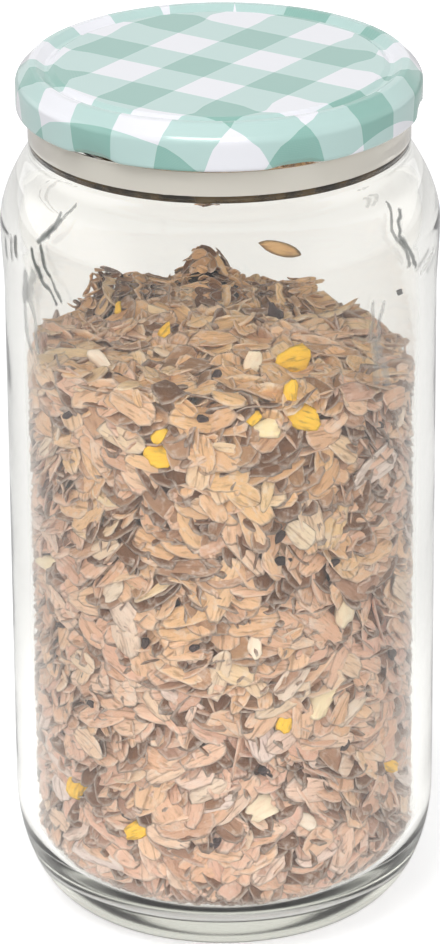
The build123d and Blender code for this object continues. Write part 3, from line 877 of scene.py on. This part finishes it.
def find_room(o, s, generator, taken, tries, grown, depth, band, lean, on_top=False, around_mound=False):
    """Try flakes in many places, each touching the glass or the heap's top but for its depth, and keep those with room.

    A flake is a disc of points. It is carried in from the wall, or down from the top, by how far its points
    stand out and by its own depth. It stays where few of the cells under its points are taken already. The lean
    gives how much its normal points outwards, upwards and at random. A row holds place, half sizes, long
    direction, normal, and 1 on top.
    """
    wall = s.body_radius - s.wall - o.glass_gap
    turn = generator.random(tries) * 2 * math.pi
    out = np.stack([np.cos(turn), np.sin(turn), np.zeros(tries)], 1)
    around = np.cross(UP, out)
    up, centre, spin = UP, out * wall, turn
    if on_top:
        centre = centre * np.sqrt(generator.random((tries, 1)))
        if around_mound:
            mounds = np.array(HEAP_MOUNDS)[generator.integers(0, len(HEAP_MOUNDS), tries)] * MM
            mounds[: tries // 2] = np.array(HEAP_MOUNDS[0]) * MM
            centre[:, :2] = mounds[:, :2] + generator.normal(0, 0.6, (tries, 2)) * mounds[:, 3:4]
            out[:, :2] = unit(centre[:, :2])
        centre[:, 2] = heap_height(o, s, centre)
        up = heap_slope(o, s, centre)
        spin = centre[:, 0] / wall * 3
    else:
        centre[:, 2] = band[0] + (band[1] - band[0]) * generator.random(tries)
    height = centre[:, 2]
    wild = generator.normal(0, 1, (tries, 3))
    sway = 0.22 * np.sin(4 * spin + height / (7 * MM))[:, None]
    outwards = lean[0] * out * (0.35 + 0.65 * generator.random((tries, 1)))
    normal = unit(outwards + lean[1] * up + sway * around + lean[2] * wild)
    normal *= np.sign((normal @ UP + 0.4 * (normal * out).sum(1))[:, None] + 1e-9)
    yaw = (1.6 * lie(spin, height) + generator.normal(0, 0.75, tries))[:, None]
    level = unit(np.cross(normal, UP), 1e-9)
    ahead = level * np.cos(yaw) + np.cross(normal, level) * np.sin(yaw)
    side = np.cross(normal, ahead)
    sizes = generator.normal(1, o.spread, (tries, 3)).clip(0.6, 1.45) * grown
    half = np.array([o.length, o.width, o.thickness]) / 2 * sizes
    u, v = disc_points()
    local = u[:, None] * (ahead * half[:, :1])[:, None, :] + v[:, None] * (side * half[:, 1:2])[:, None, :]
    deep = generator.random(tries) * (depth[1] - depth[0]) + depth[0]
    if on_top:
        points = centre[:, None, :] + local
        centre[:, 2] -= (points[..., 2] - heap_height(o, s, points)).max(1) + deep
    for _ in range(3):
        points = centre[:, None, :] + local
        over = (radius_of(points) - inner_radius_at(s, points[..., 2]) + o.glass_gap + half[:, 2:3]).max(1)
        centre -= out * (over.clip(0) if on_top else over + deep)[:, None]
        deep = 0
    points = centre[:, None, :] + local
    fits = (points[..., 2] < heap_height(o, s, points) + 0.6 * MM).all(1)
    fits &= (points[..., 2] > s.base + half[:, 2:3] + 0.2 * MM).all(1)
    cells = cells_of(o, points)
    kept = []
    for k in np.flatnonzero(fits):
        if taken[cells[k]].sum() <= o.overlap * len(u):
            taken[cells[k]] = True
            kept.append(k)
    return np.hstack([centre, half, ahead, normal, np.full((tries, 1), float(on_top))])[kept]


def cells_of(o, points):
    """Index of the cell that each point lies in."""
    cell = (points / o.cell + np.array([CELLS[0] / 2, CELLS[1] / 2, CELLS_BELOW])).astype(int)
    return (cell[..., 0] * CELLS[1] + cell[..., 1]) * CELLS[2] + cell[..., 2]


def pile_flakes(o, s, generator, bits, towards):
    """All the flakes that can be seen: round the wall in layers, over the heap's top and on the floor.

    The bits, and the way from each of them out to the glass, are kept clear.
    """
    taken = np.zeros(CELLS[0] * CELLS[1] * CELLS[2], bool)
    for bit in bits:
        cloud = generator.normal(0, 1, (CLEAR_POINTS, 3))
        cloud *= (generator.random((CLEAR_POINTS, 1)) ** (1 / 3)) / np.linalg.norm(cloud, axis=1)[:, None]
        way = generator.random((CLEAR_POINTS, 1)) * CLEAR_WAY
        points = bit[:3] + cloud * bit[4] * 0.9 + towards * way
        taken[cells_of(o, points[radius_of(points) < s.body_radius])] = True
    wall, floor = (s.base, o.front_z + 2 * MM), (s.base, s.base + CORE_LIFT)
    rules = [(2600, 0.62, (-0.9 * MM, 0.6 * MM), wall, (0.1, 0.8, 0.6), True, True)]
    for grown in (1.28, 1.08, 0.92):
        rules.append((9000, grown, (0, 0.5 * MM), wall, LEANS[0]))
        rules.append((4000, grown, (-0.5 * MM, 1.0 * MM), wall, FLAT, True))
    rules.append((2600, 0.5, (-0.7 * MM, 1.5 * MM), wall, (0.1, 0.7, 0.7), True, True))
    for grown in (1.15, 0.9):
        rules.append((10000, grown, (0.9 * MM, 3.2 * MM), wall, LEANS[1]))
        rules.append((4000, grown, (1.5 * MM, 4.5 * MM), wall, FLAT, True))
        rules.append((2500, grown, (0, 22 * MM), floor, LEANS[2]))
    rules.append((1800, 0.6, (0, 1.0 * MM), wall, LEANS[1]))
    rules.append((9000, 1.0, (3.0 * MM, o.shell), wall, LEANS[2]))
    return np.vstack([find_room(o, s, generator, taken, *rule) for rule in rules])


def flake_points(grid, flakes, generator, pointed, crease, ragged):
    """Points of many flakes at once: each is a lens over a polar grid, creased along its length, cupped and ragged.

    A point's place in the flake is rho times the rim's cosine and sine. Its height is a lens of the half
    thickness, plus a cup that grows with the square of each direction, plus a twist and a ripple of the rim.
    """
    around, rings = grid
    rho = np.concatenate([[0], np.repeat(rings, around), [0]])
    turn = np.concatenate([[0], np.tile(full_turn(around), len(rings)), [0]])
    face = np.sign(rings.index(1.0) - np.arange(len(rings)))
    face = np.concatenate([[1], np.repeat(face, around), [-1]])
    cos, sin = np.cos(turn), np.sin(turn)
    square = 1 / (np.abs(cos) ** 2.7 + np.abs(sin) ** 2.7) ** (1 / 2.7)
    thin = 1 - pointed * np.abs(cos) ** 3
    random = generator.random((len(flakes), 10))
    phase = 6.3 * random
    lobes = np.sin(2 * turn + phase[:, :1]) + np.sin(3 * turn + phase[:, 1:2]) + 0.7 * np.sin(5 * turn + phase[:, 2:3])
    uneven = 1 + ragged * rho * lobes
    u = rho * cos * square * uneven
    v = rho * sin * square * thin * uneven
    half_length, half_width, half_thick = flakes[:, 3:4], flakes[:, 4:5], flakes[:, 5:6]
    lens = face * (0.35 + 0.65 * np.sqrt(1 - np.minimum(rho, 1) ** 2)) * half_thick * (rho < 1)
    off = v - (random[:, 8:9] - 0.5) * 0.5
    creased = random[:, 9:10] < 0.55
    groove = -crease * half_thick * creased * np.exp(-((off / 0.25) ** 2)) * (1 - rho**2) * (face >= 0)
    across = np.where(creased, 0.5 + 0.5 * off, 1.0)
    cup = half_length * ((random[:, 3:4] - 0.5) * 0.42 * u**2 + (random[:, 4:5] - 0.45) * 0.42 * v**2)
    twist = half_length * (random[:, 5:6] - 0.5) * 0.30 * u * v
    ripple = half_thick * 0.7 * rho**2 * np.sin(3 * turn + phase[:, 6:7])
    local = np.stack([u * half_length, v * half_width, lens + groove + cup + twist + ripple], 2)
    return local, rho, np.broadcast_to(across, u.shape)


def flake_faces(around, rings, number):
    """Faces of the polar grids: a fan at each pole and quads between the rings, for many flakes."""
    each = around * rings + 2
    index = 1 + np.arange(around * rings).reshape(rings, around)
    beside = np.roll(index, -1, 1)
    groups = (
        np.stack([index[:-1], index[1:], beside[1:], beside[:-1]], 2).reshape(-1, 4),
        np.stack([np.zeros(around, int), index[0], beside[0]], 1),
        np.stack([np.full(around, each - 1), beside[-1], index[-1]], 1),
    )
    shift = (np.arange(number) * each)[:, None, None]
    return [(group + shift).reshape(-1, group.shape[1]) for group in groups]


def place_flakes(local, flakes):
    """Turn each flake to its own long direction and normal and carry it to its place."""
    ahead, normal = flakes[:, 6:9], flakes[:, 9:12]
    basis = np.stack([ahead, np.cross(normal, ahead), normal], 1)
    return np.einsum("npk,nkc->npc", local, basis) + flakes[:, None, :3]


def keep_in_glass(points, s, gap):
    """Push each flake in towards the axis, and up from the base, until none of it is nearer the glass than the gap."""
    for _ in range(3):
        over = (radius_of(points) - (inner_radius_at(s, points[..., 2]) - gap)).max(1).clip(0)
        away = unit(points[..., :2].mean(1), 1e-9)
        points[..., :2] -= (away * over[:, None])[:, None, :]
    points[..., 2] += (s.base + gap / 2 - points[..., 2].min(1)).clip(0)[:, None]
    return points


def grain_mesh(name, points, local, rho, across, tones, grid, material):
    """One piece of many flakes, with a map of each flake's own plane and its tones."""
    around, rings = grid
    piece = add_mesh(name, points.reshape(-1, 3), flake_faces(around, len(rings), len(points)))
    shift = tones[:, 2:3, None] * np.array([37.0, 19.0]) * MM * 10
    set_uv(piece, "flake", (local[..., :2] + shift).reshape(-1, 2))
    tone = piece.data.attributes.new("grain", "FLOAT_COLOR", "POINT")
    per_point = np.ones((len(points), len(rho), 4), np.float32)
    for channel, values in enumerate((tones[:, :1], rho, tones[:, 1:2], across)):
        per_point[..., channel] = values
    tone.data.foreach_set("color", per_point.ravel())
    piece.data.materials.append(material)
    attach(piece, "jar")
    return piece


class OATJAR_OT_stage(bpy.types.Operator):
    """Set the camera, the floor, the lamps and the light from all round"""

    bl_idname = "oatjar.stage"
    bl_label = "Stage"

    def execute(self, context):
        stage = context.scene.oatjar_stage
        view = Picture(stage)
        camera = bpy.data.cameras.new("camera")
        camera.sensor_width = SENSOR
        camera.lens = stage.focal_px * SENSOR / PICTURE_HEIGHT
        holder = add_object("camera", camera)
        holder.matrix_world = Matrix.Translation(view.eye) @ view.turn.to_4x4()
        context.scene.camera = holder
        self.make_floor(stage)
        self.make_world(context, stage)
        for name, row in LAMPS.items():
            self.make_lamp(name + " lamp", getattr(stage, name + "_power"), *row)
        context.scene.view_settings.view_transform = "Standard"
        return {"FINISHED"}

    def make_lamp(self, name, power, place, sides, unseen_by):
        """A flat soft lamp that faces the jar."""
        lamp = bpy.data.lights.new(name, "AREA")
        lamp.shape = "RECTANGLE"
        lamp.size, lamp.size_y = sides
        lamp.energy = power
        holder = add_object(name, lamp)
        holder.location = place
        holder.rotation_euler = (LAMP_AIM - holder.location).to_track_quat("-Z", "Y").to_euler()
        holder.visible_transmission = False
        setattr(holder, unseen_by, False)

    def make_floor(self, stage):
        """A pale floor that shows white where nothing shades it. For the camera it also glows, more far away; for rays
        through the glass it glows most in a ring round the jar, painted light that offsets the jar's shadow there.
        """
        half = stage.floor_side / 2
        corners = np.array([(-half, -half, 0), (half, -half, 0), (half, half, 0), (-half, half, 0)])
        floor = add_mesh("floor", corners, [np.array([[0, 1, 2, 3]])])
        material, tree, output = new_material("floor")
        plain = principled(output, Base_Color=stage.floor, Roughness=0.9, Specular_IOR_Level=0.0)
        camera, glossy, through = rays(tree)
        out = vector_maths("LENGTH", object_place(tree))
        # Painted light: a glow ring round the jar, seen through the glass, that offsets the jar's shadow
        near = soft_step(out, 33 * MM, 50 * MM) * soft_step(out, 200 * MM, 95 * MM)
        passed = through * (near * 0.38 + 0.37)
        direct = camera * (soft_step(out, 0.3, 1.2) * 0.4 + 0.6)
        strength = maths("MAXIMUM", direct, maths("MAXIMUM", glossy * 0.12, passed))
        glow = node(tree, "Emission", {"Strength": strength})
        feed(output.inputs["Surface"], node(tree, "AddShader", {0: plain, 1: glow}))
        floor.data.materials.append(material)

    def make_world(self, context, stage):
        """White for the camera; for gloss and glass white behind the jar and dimmer in front; plain elsewhere.

        Gloss sees the left and right brighter. What oats send on through the glass meets a window in front.
        """
        world = bpy.data.worlds.new("studio")
        world.use_nodes = True
        context.scene.world = world
        tree = world.node_tree
        tree.nodes.clear()
        camera, glossy, through = rays(tree)
        gloss = maths("MAXIMUM", glossy, through)
        away = node(tree, "TexCoord", out="Generated")
        east, north, _ = split(away)
        behind = soft_step(north, -0.95, -0.60)
        room = behind * stage.back + (1.0 - behind) * (stage.front - through * 0.15)
        sides = soft_step(east, -0.6, -0.95) * HAZE_LEFT + soft_step(east, 0.6, 0.95) * HAZE_RIGHT
        inner = gloss * (room + sides * glossy) + (1.0 - gloss) * stage.sky
        window = soft_step(vector_maths("DOT_PRODUCT", away, WINDOW_DIRECTION), 0.84, 0.96)
        scattered = maths("MINIMUM", node(tree, "LightPath", out="Diffuse Depth"), 1.0)
        inner = inner + window * (scattered * stage.window) * through
        background = node(tree, "Background", {"Strength": inner * (1.0 - camera) + camera, "Color": (1, 1, 1, 1)})
        feed(tree.nodes.new("ShaderNodeOutputWorld").inputs["Surface"], background)


class OATJAR_OT_glass(bpy.types.Operator):
    """Blow the glass jar, with its foot, neck ring, threads and mould seam"""

    bl_idname = "oatjar.glass"
    bl_label = "Glass jar"

    def execute(self, context):
        s, lid = context.scene.oatjar_glass, context.scene.oatjar_lid
        turns = full_turn(s.segments)
        outside, inside = jar_outside(s), jar_inside(s)
        line = joined(outside, inside)
        radius, height = turned(line, turns)
        is_outer = (np.arange(len(line)) < len(outside))[:, None]
        high, low = THREADS_DOWN
        threads = thread_height(s, lid, turns[None, :], height)
        radius += np.where(is_outer & (height > RIM_Z - low) & (height < RIM_Z - high), threads, 0)
        seam = np.zeros_like(radius)
        for centre in (s.seam_angle, s.seam_angle + math.pi):
            seam += np.exp(-((wrapped(turns, centre)[None, :] * radius / (s.seam_width / 2)) ** 2))
        foot = RIM_Z - RING_FOOT_DOWN
        on_neck = smooth(foot, foot + 2 * MM, height) * smooth(0, 1 * MM, RIM_Z - SEAM_END_DOWN - height)
        from_z, to_z, part = SEAM_ON_BODY
        on_body = smooth(from_z, to_z, height) * part * (height < foot)
        radius += np.where(is_outer, seam * s.seam_height * (on_neck + on_body) * 0.9, 0)
        radius = np.where(is_outer, np.minimum(radius, BULGE_RADIUS), radius)
        inner_wall = ~is_outer & (height > s.base + EVEN_ENDS) & (height < RIM_Z - EVEN_ENDS)
        fade = smooth(s.base + EVEN_ENDS, s.base + UNEVEN_FROM, height)
        radius -= np.where(inner_wall, np.abs(waves(s, turns[None, :], height)) * fade, 0)
        jar = turned_mesh("glass_jar", radius, height, turns, True)
        jar.data.materials.append(glass_material("jar glass", s.glass_tint, s, streaks=PAINTED_SHADE_STREAKS))
        # Slot 1: the neck ring, partly opaque, with the lid's inside painted on as a reflection
        jar.data.materials.append(glass_material("neck ring glass", s.painted_ring_reflection, s, 0.30, 0.06, 0.5))
        # Slot 2: a dark line at the ring's foot, painted shade
        jar.data.materials.append(glass_material("neck groove glass", s.groove_painted_shade, s, 0.25, 0.12, 0.5, True))
        neck_z = neck_height(s)
        middle = (line[1:-2, 1] + line[2:-1, 1]) / 2
        on_outside = np.arange(len(middle)) < len(outside) - 2
        # Faces of the neck ring take slot 1, the painted reflection
        slots = on_outside & (middle > neck_z + s.groove_height / 2) & (middle < neck_z + s.neck_ring_height)
        # A line at the ring's foot takes slot 2, the painted shade
        shade_from = neck_z + s.groove_height * 0.45
        slots = np.where(on_outside & (middle > shade_from) & (middle < shade_from + s.shade_height), 2, slots)
        slots = np.concatenate([slots.repeat(len(turns)), np.zeros(2 * len(turns), int)]).astype(np.int32)
        jar.data.polygons.foreach_set("material_index", slots)
        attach(jar, "jar")
        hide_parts("jar_glass")
        return {"FINISHED"}


class OATJAR_OT_lid(bpy.types.Operator):
    """Press the lid, with its panel, groove, crown, skirt, rolled edge and lugs, and print it"""

    bl_idname = "oatjar.lid"
    bl_label = "Lid"

    def skin(self, s):
        """The outer skin's half section, from the middle of the panel down to the rolled edge."""
        crown_out = LID_RADIUS - s.skirt_shoulder_width
        crown_in = crown_out - s.crown_flat
        groove_out = crown_in - s.crown_slope_width
        groove_in = groove_out - s.groove_width
        corners = (
            (0, s.panel_drop), (groove_in - s.step_width, s.panel_drop), (groove_in, s.groove_drop),
            (groove_out, s.groove_drop), (crown_in, 0), (crown_out, 0),
            (LID_RADIUS - s.skirt_break_width, s.upper_shoulder_drop), (LID_RADIUS, s.skirt_shoulder_drop),
        )
        corners = [(out, LID_TOP_Z - down) for out, down in corners] + [(LID_RADIUS, LID_BOTTOM_Z + s.curl_radius)]
        return finer(bent(corners, [s.groove_bend] * 3 + [s.crown_bend] * 2 + [s.skirt_bend] * 2, 6), 1.2 * MM)

    def execute(self, context):
        s = context.scene.oatjar_lid
        skin = self.skin(s)
        centre = np.array([LID_RADIUS - s.curl_radius, LID_BOTTOM_Z + s.curl_radius])
        rolled = -np.linspace(0, s.curl_turn, 30)
        ray = np.stack([np.cos(rolled), np.sin(rolled)], 1)
        under = (skin + sideways(skin) * -s.sheet)[::-1]
        under[:, 0] = under[:, 0].clip(0)
        line = joined(skin, centre + ray * s.curl_radius, (centre + ray * (s.curl_radius - s.sheet))[::-1], under)
        line[-1, 0] = 0
        turns = full_turn(s.segments)
        radius, height = turned(line, turns)
        lugs = np.zeros(len(turns))
        for k in range(s.lug_count):
            off = wrapped(turns, s.lug_first + k * 2 * math.pi / s.lug_count)
            lugs += np.exp(-((np.abs(off) / s.lug_half) ** 4))
        near_edge = smooth(*(LID_BOTTOM_Z + radii * s.curl_radius for radii in LUG_FADE), height)
        inward = np.clip((LID_RADIUS - radius) / (2 * s.curl_radius), 0, 1)
        radius -= lugs * near_edge * s.lug_pull * (0.42 + 0.58 * inward)
        height += lugs * near_edge * (s.lug_lift * (1 - 0.8 * smooth(0.1, 0.6, inward)))
        lid = turned_mesh("lid_pressed_sheet", radius, height, turns, False)
        flat = np.concatenate([[0], np.cumsum(np.linalg.norm(np.diff(line, axis=0), axis=1))])
        flat = np.interp(flat, *(np.array(PRINT_DRAW).T * MM))
        rows = np.repeat(flat[1:-1], len(turns))
        spread = np.tile(turns, len(flat) - 2)
        sheet = np.stack([rows * np.cos(spread), rows * np.sin(spread)], 1)
        set_uv(lid, "sheet", np.vstack([sheet, [[0, 0], [0, 0]]]))
        lid.data.materials.append(gingham_material(s))
        lid.data.materials.append(
            speckled_material("lid lacquer", s.lacquer, 0.78, 220.0, 3.0, (0.22, 0.2), 0.04, 0.3)
        )
        lacquered = np.arange(len(line) - 3).repeat(len(turns)) >= len(skin) + CURL_PRINTED
        slots = np.concatenate([lacquered, np.zeros(len(turns)), np.ones(len(turns))]).astype(np.int32)
        lid.data.polygons.foreach_set("material_index", slots)
        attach(lid, "lid")
        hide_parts("lid_shell")
        shown_on = bpy.data.collections.new("shows the strip lamp")
        shown_on.objects.link(lid)
        bpy.data.objects["strip lamp"].light_linking.receiver_collection = shown_on
        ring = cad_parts["sealing_ring"]
        ring.data.materials.clear()
        ring.data.materials.append(
            speckled_material("sealing compound", s.seal, 0.85, 700.0, 3.0, (0.55, 0), 0.05, 0.4)
        )
        return {"FINISHED"}


class OATJAR_OT_oats(bpy.types.Operator):
    """Pack the oats at random wherever a flake has room, with the grains among them, over a core coloured as painted
    shade
    """

    bl_idname = "oatjar.oats"
    bl_label = "Oats"

    def execute(self, context):
        o, s = context.scene.oatjar_oats, context.scene.oatjar_glass
        view = Picture(context.scene.oatjar_stage)
        generator = np.random.default_rng(11)
        bits = [self.bits(o, s, view, *kind[:5]) for kind in GRAIN_KINDS]
        towards = -view.line(PICTURE_WIDTH / 2, PICTURE_HEIGHT / 2)
        flakes = pile_flakes(o, s, generator, np.vstack(bits), towards)
        self.make_flakes(o, s, flakes, generator)
        for table, kind in zip(bits, GRAIN_KINDS):
            self.make_bits(o, s, table, generator, *kind[5:])
        self.make_core(o, s)
        return {"FINISHED"}

    def bits(self, o, s, view, table, wide, thick, behind, usual):
        """Where the single grains of a kind stand.

        Those of the photograph stand on the first oats that their line of sight meets. A few more lie against the
        glass behind, where the photograph doesn't reach, at turns and heights that step by the golden ratio.
        """
        wall = o.glass_gap + GRAIN_INSET
        first_turn, turn_range = BEHIND_TURNS
        first_up, less = BEHIND_HEIGHTS

        def in_oats(points):
            z = points[:, 2]
            return (radius_of(points) < inner_radius_at(s, z) - wall) & (z < heap_height(o, s, points) + GRAIN_OUT)

        spots = [
            (view.meets(px, py, in_oats), view.millimetres(across) / 2, -view.line(px, py))
            for px, py, across in table
        ]
        for k in range(behind):
            turn = math.radians(first_turn + turn_range * ((k + usual) * GOLDEN % 1))
            out = np.array([math.cos(turn), math.sin(turn), 0])
            up = s.base + first_up + (o.front_z - less - s.base) * (k + 0.5) / behind
            place = out * (s.body_radius - s.wall - wall) + UP * up
            spots.append((place, usual * MM * (0.8 + 0.1 * (k % 5)), out))
        rows = []
        for index, (place, half, sight) in enumerate(spots):
            away = unit(place[:2])
            facing = unit(sight * 0.5 + np.array([*away, 0.35]) * 0.5)
            level = unit(np.cross(facing, UP))
            yaw = 0.5 * (3 * index % 5 - 1)
            ahead = level * math.cos(yaw) + np.cross(facing, level) * math.sin(yaw)
            rows.append([*place, half, half * wide, half * thick, *ahead, *facing])
        return np.array(rows)

    def make_flakes(self, o, s, flakes, generator):
        """The flakes in three bands of height and those on top, each one piece."""
        local, rho, across = flake_points(FLAKE_GRID, flakes, generator, 0.06, 0.9, 0.05)
        points = keep_in_glass(place_flakes(local, flakes), s, o.glass_gap)
        on_top = flakes[:, 12] > 0.5
        tones = generator.random((len(flakes), 3))
        turn = np.arctan2(flakes[:, 1], flakes[:, 0])
        level = flakes[:, 2]
        # Warmth varies with turn and height, is lower at the left and right than at the front and back, and grows with
        # height, partly as painted shade under the lid
        drift = 0.5 + 0.5 * np.cos(2 * turn + math.pi) * smooth(20 * MM, 70 * MM, level)
        warmth_and_shade = 0.75 * smooth(15 * MM, 128 * MM, level) * drift + 0.2 * np.sin(5 * turn + level / (8 * MM)) + 0.1
        raised = level - (o.front_z - 5.0 * MM)
        clump = smooth(0, 4 * MM, raised) * on_top * smooth(5 * MM, 15 * MM, flakes[:, 1])
        behind = s.body_radius - s.wall - radius_of(flakes)
        # Painted shade: flakes that lie deeper behind the glass are darker
        deep = smooth(1.4 * MM, 3.8 * MM, behind) * ~on_top
        # Paler by chance, and browner where warm and in the clump at the back; darker as painted shade deep behind the
        # glass, and darker and browner as painted shade on top, under the lid
        pale = 0.18 + 0.86 * tones[:, 0] + 0.14 * (0.5 - warmth_and_shade) - 0.6 * deep - 0.20 * on_top - 0.22 * clump
        tones[:, 0] = pale.clip(0, 1)
        tones[:, 1] = (warmth_and_shade + 0.5 * (tones[:, 1] - 0.5) + 0.6 * on_top + 0.3 * clump).clip(0, 1)
        material = grain_material("rolled oats", o.cream, o.tan, o.rose, o.brown, o.bran)
        low, high = level < BANDS[0], level >= BANDS[1]
        for name, chosen, stands_for in (
            ("oat_flakes_low", ~on_top & low, "oat_flakes_wall"),
            ("oat_flakes_middle", ~on_top & ~low & ~high, None),
            ("oat_flakes_high", ~on_top & high, None),
            ("oat_flakes_top", on_top, "oat_flakes_heap"),
        ):
            chosen_parts = (points[chosen], local[chosen], rho, across[chosen], tones[chosen])
            piece = grain_mesh(name, *chosen_parts, FLAKE_GRID, material)
            if stands_for:
                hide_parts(stands_for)

    def make_bits(self, o, s, table, generator, name, stands_for, slot, colours, pointed):
        """The single grains of a kind as one piece."""
        local, rho, across = flake_points(FLAKE_GRID, table, generator, pointed, 0.1, 0.09)
        points = keep_in_glass(place_flakes(local, table), s, o.glass_gap)
        tones = generator.random((len(table), 3))
        material = grain_material(name.replace("_", " "), *(getattr(o, c) for c in colours.split()), ridge=0.6)
        piece = grain_mesh(name, points, local, rho, np.ones_like(across), tones, FLAKE_GRID, material)
        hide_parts(stands_for)

    def make_core(self, o, s):
        """A mass under the loose flakes, coloured near-black as painted shade: the jar's inside, a shell's depth
        smaller, under the heap.
        """
        around, rows = CORE_GRID
        turns = full_turn(around)
        up = np.concatenate([[0], np.linspace(0.02, 1, rows)])
        low = s.base + CORE_LIFT
        z = low + (o.middle_z - 5 * MM - low) * up
        reach = inner_radius_at(s, z) - (o.shell - 1.0 * MM)
        reach[0] = 0
        across = np.array([0.75, 0.5, 0.25, 0])
        line = np.vstack([np.stack([reach, z], 1), np.stack([reach[-1] * across, np.full(4, z[-1])], 1)])
        radius, height = turned(line, turns)
        top = heap_height(o, s, np.stack([radius * np.cos(turns), radius * np.sin(turns)], 2)) - CORE_DOWN
        height = low + (top - low) * np.clip((height - low) / (z[-1] - low), 0, 1)
        height[0] = low
        height[-1] = top[-1, 0]
        crumbs = 0.8 * MM * np.sin(9 * turns + 300 * height) * np.cos(6 * turns - 410 * height)
        core = turned_mesh("oat_core", np.where(radius > 0, radius + crumbs, 0), height, turns, True)
        # The core's near-black colour is painted shade
        core.data.materials.append(
            speckled_material("oat core", o.core, 2.2, 480.0, 4.0, (0.9, 0), 0.6, 1.0, (0.45, 0.7))
        )
        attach(core, "jar")
        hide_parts("oat_bed")


class OATJAR_OT_clinging(bpy.types.Operator):
    """Hang the single husk and the fleck on the inside of the glass"""

    bl_idname = "oatjar.clinging"
    bl_label = "Clinging husk"

    def execute(self, context):
        o, s = context.scene.oatjar_oats, context.scene.oatjar_glass
        view = Picture(context.scene.oatjar_stage)
        inside = jar_inside(s)
        inside = inside[np.argsort(inside[:, 1])]
        generator = np.random.default_rng(5)
        tilt = math.radians(-23)
        tones = np.array([[0.8, 0.6, 0.3]])

        def wall(z):
            return np.interp(z, inside[:, 1], inside[:, 0])

        for px, py, across, wide, thick, name, colours, stands_for in CLINGING:
            half = view.millimetres(across) / 2
            gap = 0.3 * MM + half * half / (2 * wall(0.16))
            place = view.meets(px, py, lambda points: radius_of(points) < wall(points[:, 2]) - gap)
            away = np.array([*unit(place[:2]), 0])
            row = np.array([[*place, half, half * wide, half * thick]])
            local, rho, share_across = flake_points(HUSK_GRID, row, generator, 0.85, 0.3, 0.02)
            local[..., 2] = np.clip(local[..., 2], -0.5 * MM, 0.25 * MM)
            lean = (wall(place[2] + 1 * MM) - wall(place[2] - 1 * MM)) / (2 * MM)
            normal = unit(away - UP * lean)
            ahead = np.array([-away[1], away[0], 0]) * math.cos(tilt) + UP * math.sin(tilt)
            ahead = unit(ahead - normal * (ahead @ normal))
            points = local @ np.stack([ahead, np.cross(normal, ahead), normal]) + place
            material = grain_material(name.replace("_", " "), *(getattr(o, c) for c in colours.split()), ridge=0.6)
            piece = grain_mesh(name, points, local, rho, share_across, tones, HUSK_GRID, material)
            if stands_for:
                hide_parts(stands_for)
        return {"FINISHED"}


class OATJAR_PT_panel(bpy.types.Panel):
    """Buttons that build the jar piece by piece"""

    bl_idname = "OATJAR_PT_panel"
    bl_label = "Oat jar"
    bl_space_type = "VIEW_3D"
    bl_region_type = "UI"
    bl_category = "Oat jar"

    def draw(self, context):
        for operator in OPERATORS:
            self.layout.operator(operator.bl_idname)


OPERATORS = (OATJAR_OT_stage, OATJAR_OT_glass, OATJAR_OT_lid, OATJAR_OT_oats, OATJAR_OT_clinging)
SETTINGS = {
    "oatjar_glass": JarGlassSettings,
    "oatjar_lid": LidSettings,
    "oatjar_oats": OatSettings,
    "oatjar_stage": StageSettings,
}


def register():
    """Add the settings, operators and panel to Blender."""
    for kind in (*SETTINGS.values(), *OPERATORS, OATJAR_PT_panel):
        bpy.utils.register_class(kind)
    for name, kind in SETTINGS.items():
        setattr(bpy.types.Scene, name, PointerProperty(type=kind))


def unregister():
    """Take them out again."""
    for name in SETTINGS:
        delattr(bpy.types.Scene, name)
    for kind in reversed((*SETTINGS.values(), *OPERATORS, OATJAR_PT_panel)):
        bpy.utils.unregister_class(kind)


def main():
    """Build the whole jar."""
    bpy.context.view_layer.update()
    register()
    for operator in OPERATORS:
        group, name = operator.bl_idname.split(".")
        getattr(getattr(bpy.ops, group), name)()


if __name__ == "__main__":
    main()
